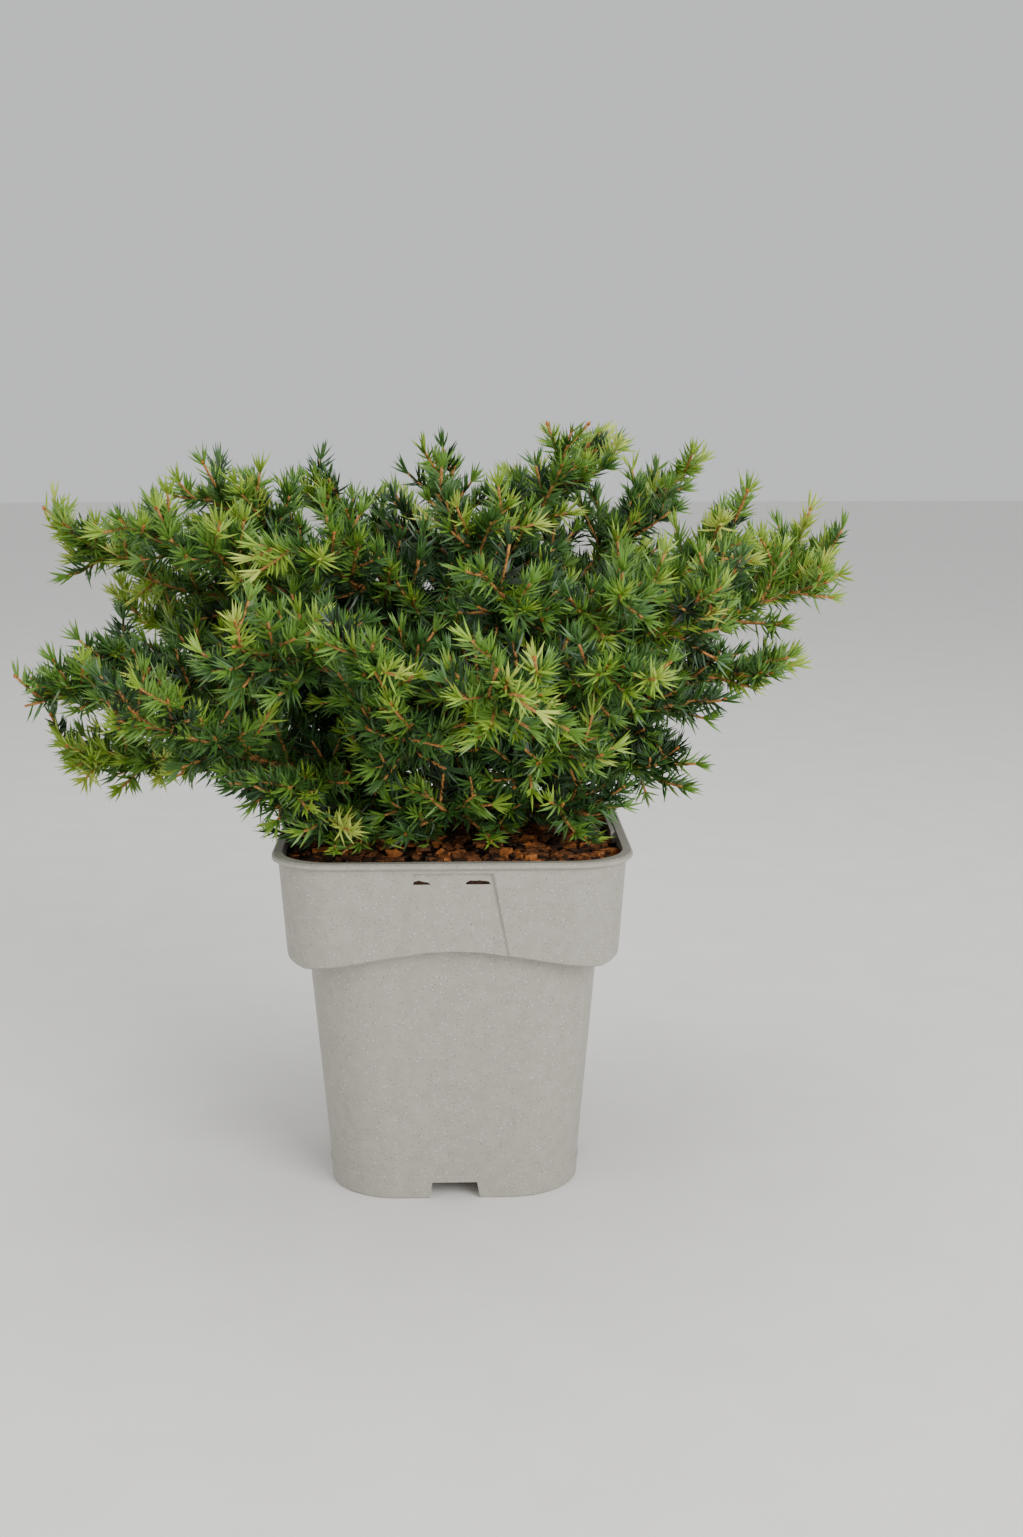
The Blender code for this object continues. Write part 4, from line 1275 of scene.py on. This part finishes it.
class SPRUCE_OT_twigs(bpy.types.Operator):
    """Grows the twigs, carried finer than the solids, and their buds"""

    bl_idname = "spruce.twigs"
    bl_label = "Twigs and buds"

    def execute(self, context):
        twigs, buds = twig_pieces(grown(context)[1])
        foliage = [node for node in NODES if node.endswith("_foliage")]
        dress(twigs, shoot_bark(), "young_bark", *foliage)
        dress(buds, bud_scales(), "young_bark")
        return {"FINISHED"}


class SPRUCE_OT_needles(bpy.types.Operator):
    """Sets the needles along every shoot, in six greens dealt out by spray, fresh tips, painted shade inside
    the crown and painted light on top
    """

    bl_idname = "spruce.needles"
    bl_label = "Needles"

    def execute(self, context):
        sizes = context.scene.spruce_sizes
        roots, ways, lengths, lights = needle_rows(grown(context)[1], sizes.needles_per_cm / 10)
        # each needle's green comes from its lightness, painted shade and painted light included
        groups = np.digitize(lights, SHADE_STEPS)
        for k, shade in enumerate(SHADES):
            material = waxy_needle(shade)
            members = np.flatnonzero(groups == k)
            for chunk, start in enumerate(range(0, len(members), PIECE_NEEDLES)):
                rows = members[start : start + PIECE_NEEDLES]
                shapes = needle_shapes(roots[rows], ways[rows], lengths[rows], sizes.needle_width)
                dress(from_arrays(f"needles_{shade}_{chunk + 1}", *shapes, False), material, "needles")
        return {"FINISHED"}


class SPRUCE_OT_stage(bpy.types.Operator):
    """Sets the pale floor, the soft lights and the camera"""

    bl_idname = "spruce.stage"
    bl_label = "Stage"

    def execute(self, context):
        bpy.ops.mesh.primitive_plane_add(size=FLOOR_SIZE)
        floor = context.object
        floor.name = "floor"
        floor.data.materials.append(pale_card())
        world = bpy.data.worlds.new("soft_room")
        world.use_nodes = True
        background = world.node_tree.nodes["Background"]
        background.inputs["Color"].default_value = ROOM_COLOUR
        background.inputs["Strength"].default_value = ROOM_STRENGTH
        context.scene.world = world
        for lamp in LAMPS:
            add_lamp(context, *lamp)
        add_camera(context)
        return {"FINISHED"}


OPERATORS = (
    SPRUCE_OT_pot,
    SPRUCE_OT_mix,
    SPRUCE_OT_bark,
    SPRUCE_OT_twigs,
    SPRUCE_OT_needles,
    SPRUCE_OT_stage,
)


class SPRUCE_PT_panel(bpy.types.Panel):
    """Lists the sizes, the colours and the pieces"""

    bl_idname = "SPRUCE_PT_panel"
    bl_label = "Potted Spruce"
    bl_space_type = "VIEW_3D"
    bl_region_type = "UI"
    bl_category = "Spruce"

    def draw(self, context):
        for group in (context.scene.spruce_sizes, context.scene.spruce_colours):
            for name in group.__annotations__:
                self.layout.prop(group, name)
        for operator in OPERATORS:
            self.layout.operator(operator.bl_idname)


CLASSES = (SpruceSizes, SpruceColours, *OPERATORS, SPRUCE_PT_panel)


def register():
    for item in CLASSES:
        bpy.utils.register_class(item)
    bpy.types.Scene.spruce_sizes = bpy.props.PointerProperty(type=SpruceSizes)
    bpy.types.Scene.spruce_colours = bpy.props.PointerProperty(type=SpruceColours)


def unregister():
    del bpy.types.Scene.spruce_colours
    del bpy.types.Scene.spruce_sizes
    for item in reversed(CLASSES):
        bpy.utils.unregister_class(item)


def main():
    register()
    bpy.ops.object.select_all(action="DESELECT")
    bpy.ops.spruce.pot()
    bpy.ops.spruce.mix()
    bpy.ops.spruce.bark()
    bpy.ops.spruce.twigs()
    bpy.ops.spruce.needles()
    bpy.ops.spruce.stage()


if __name__ == "__main__":
    main()
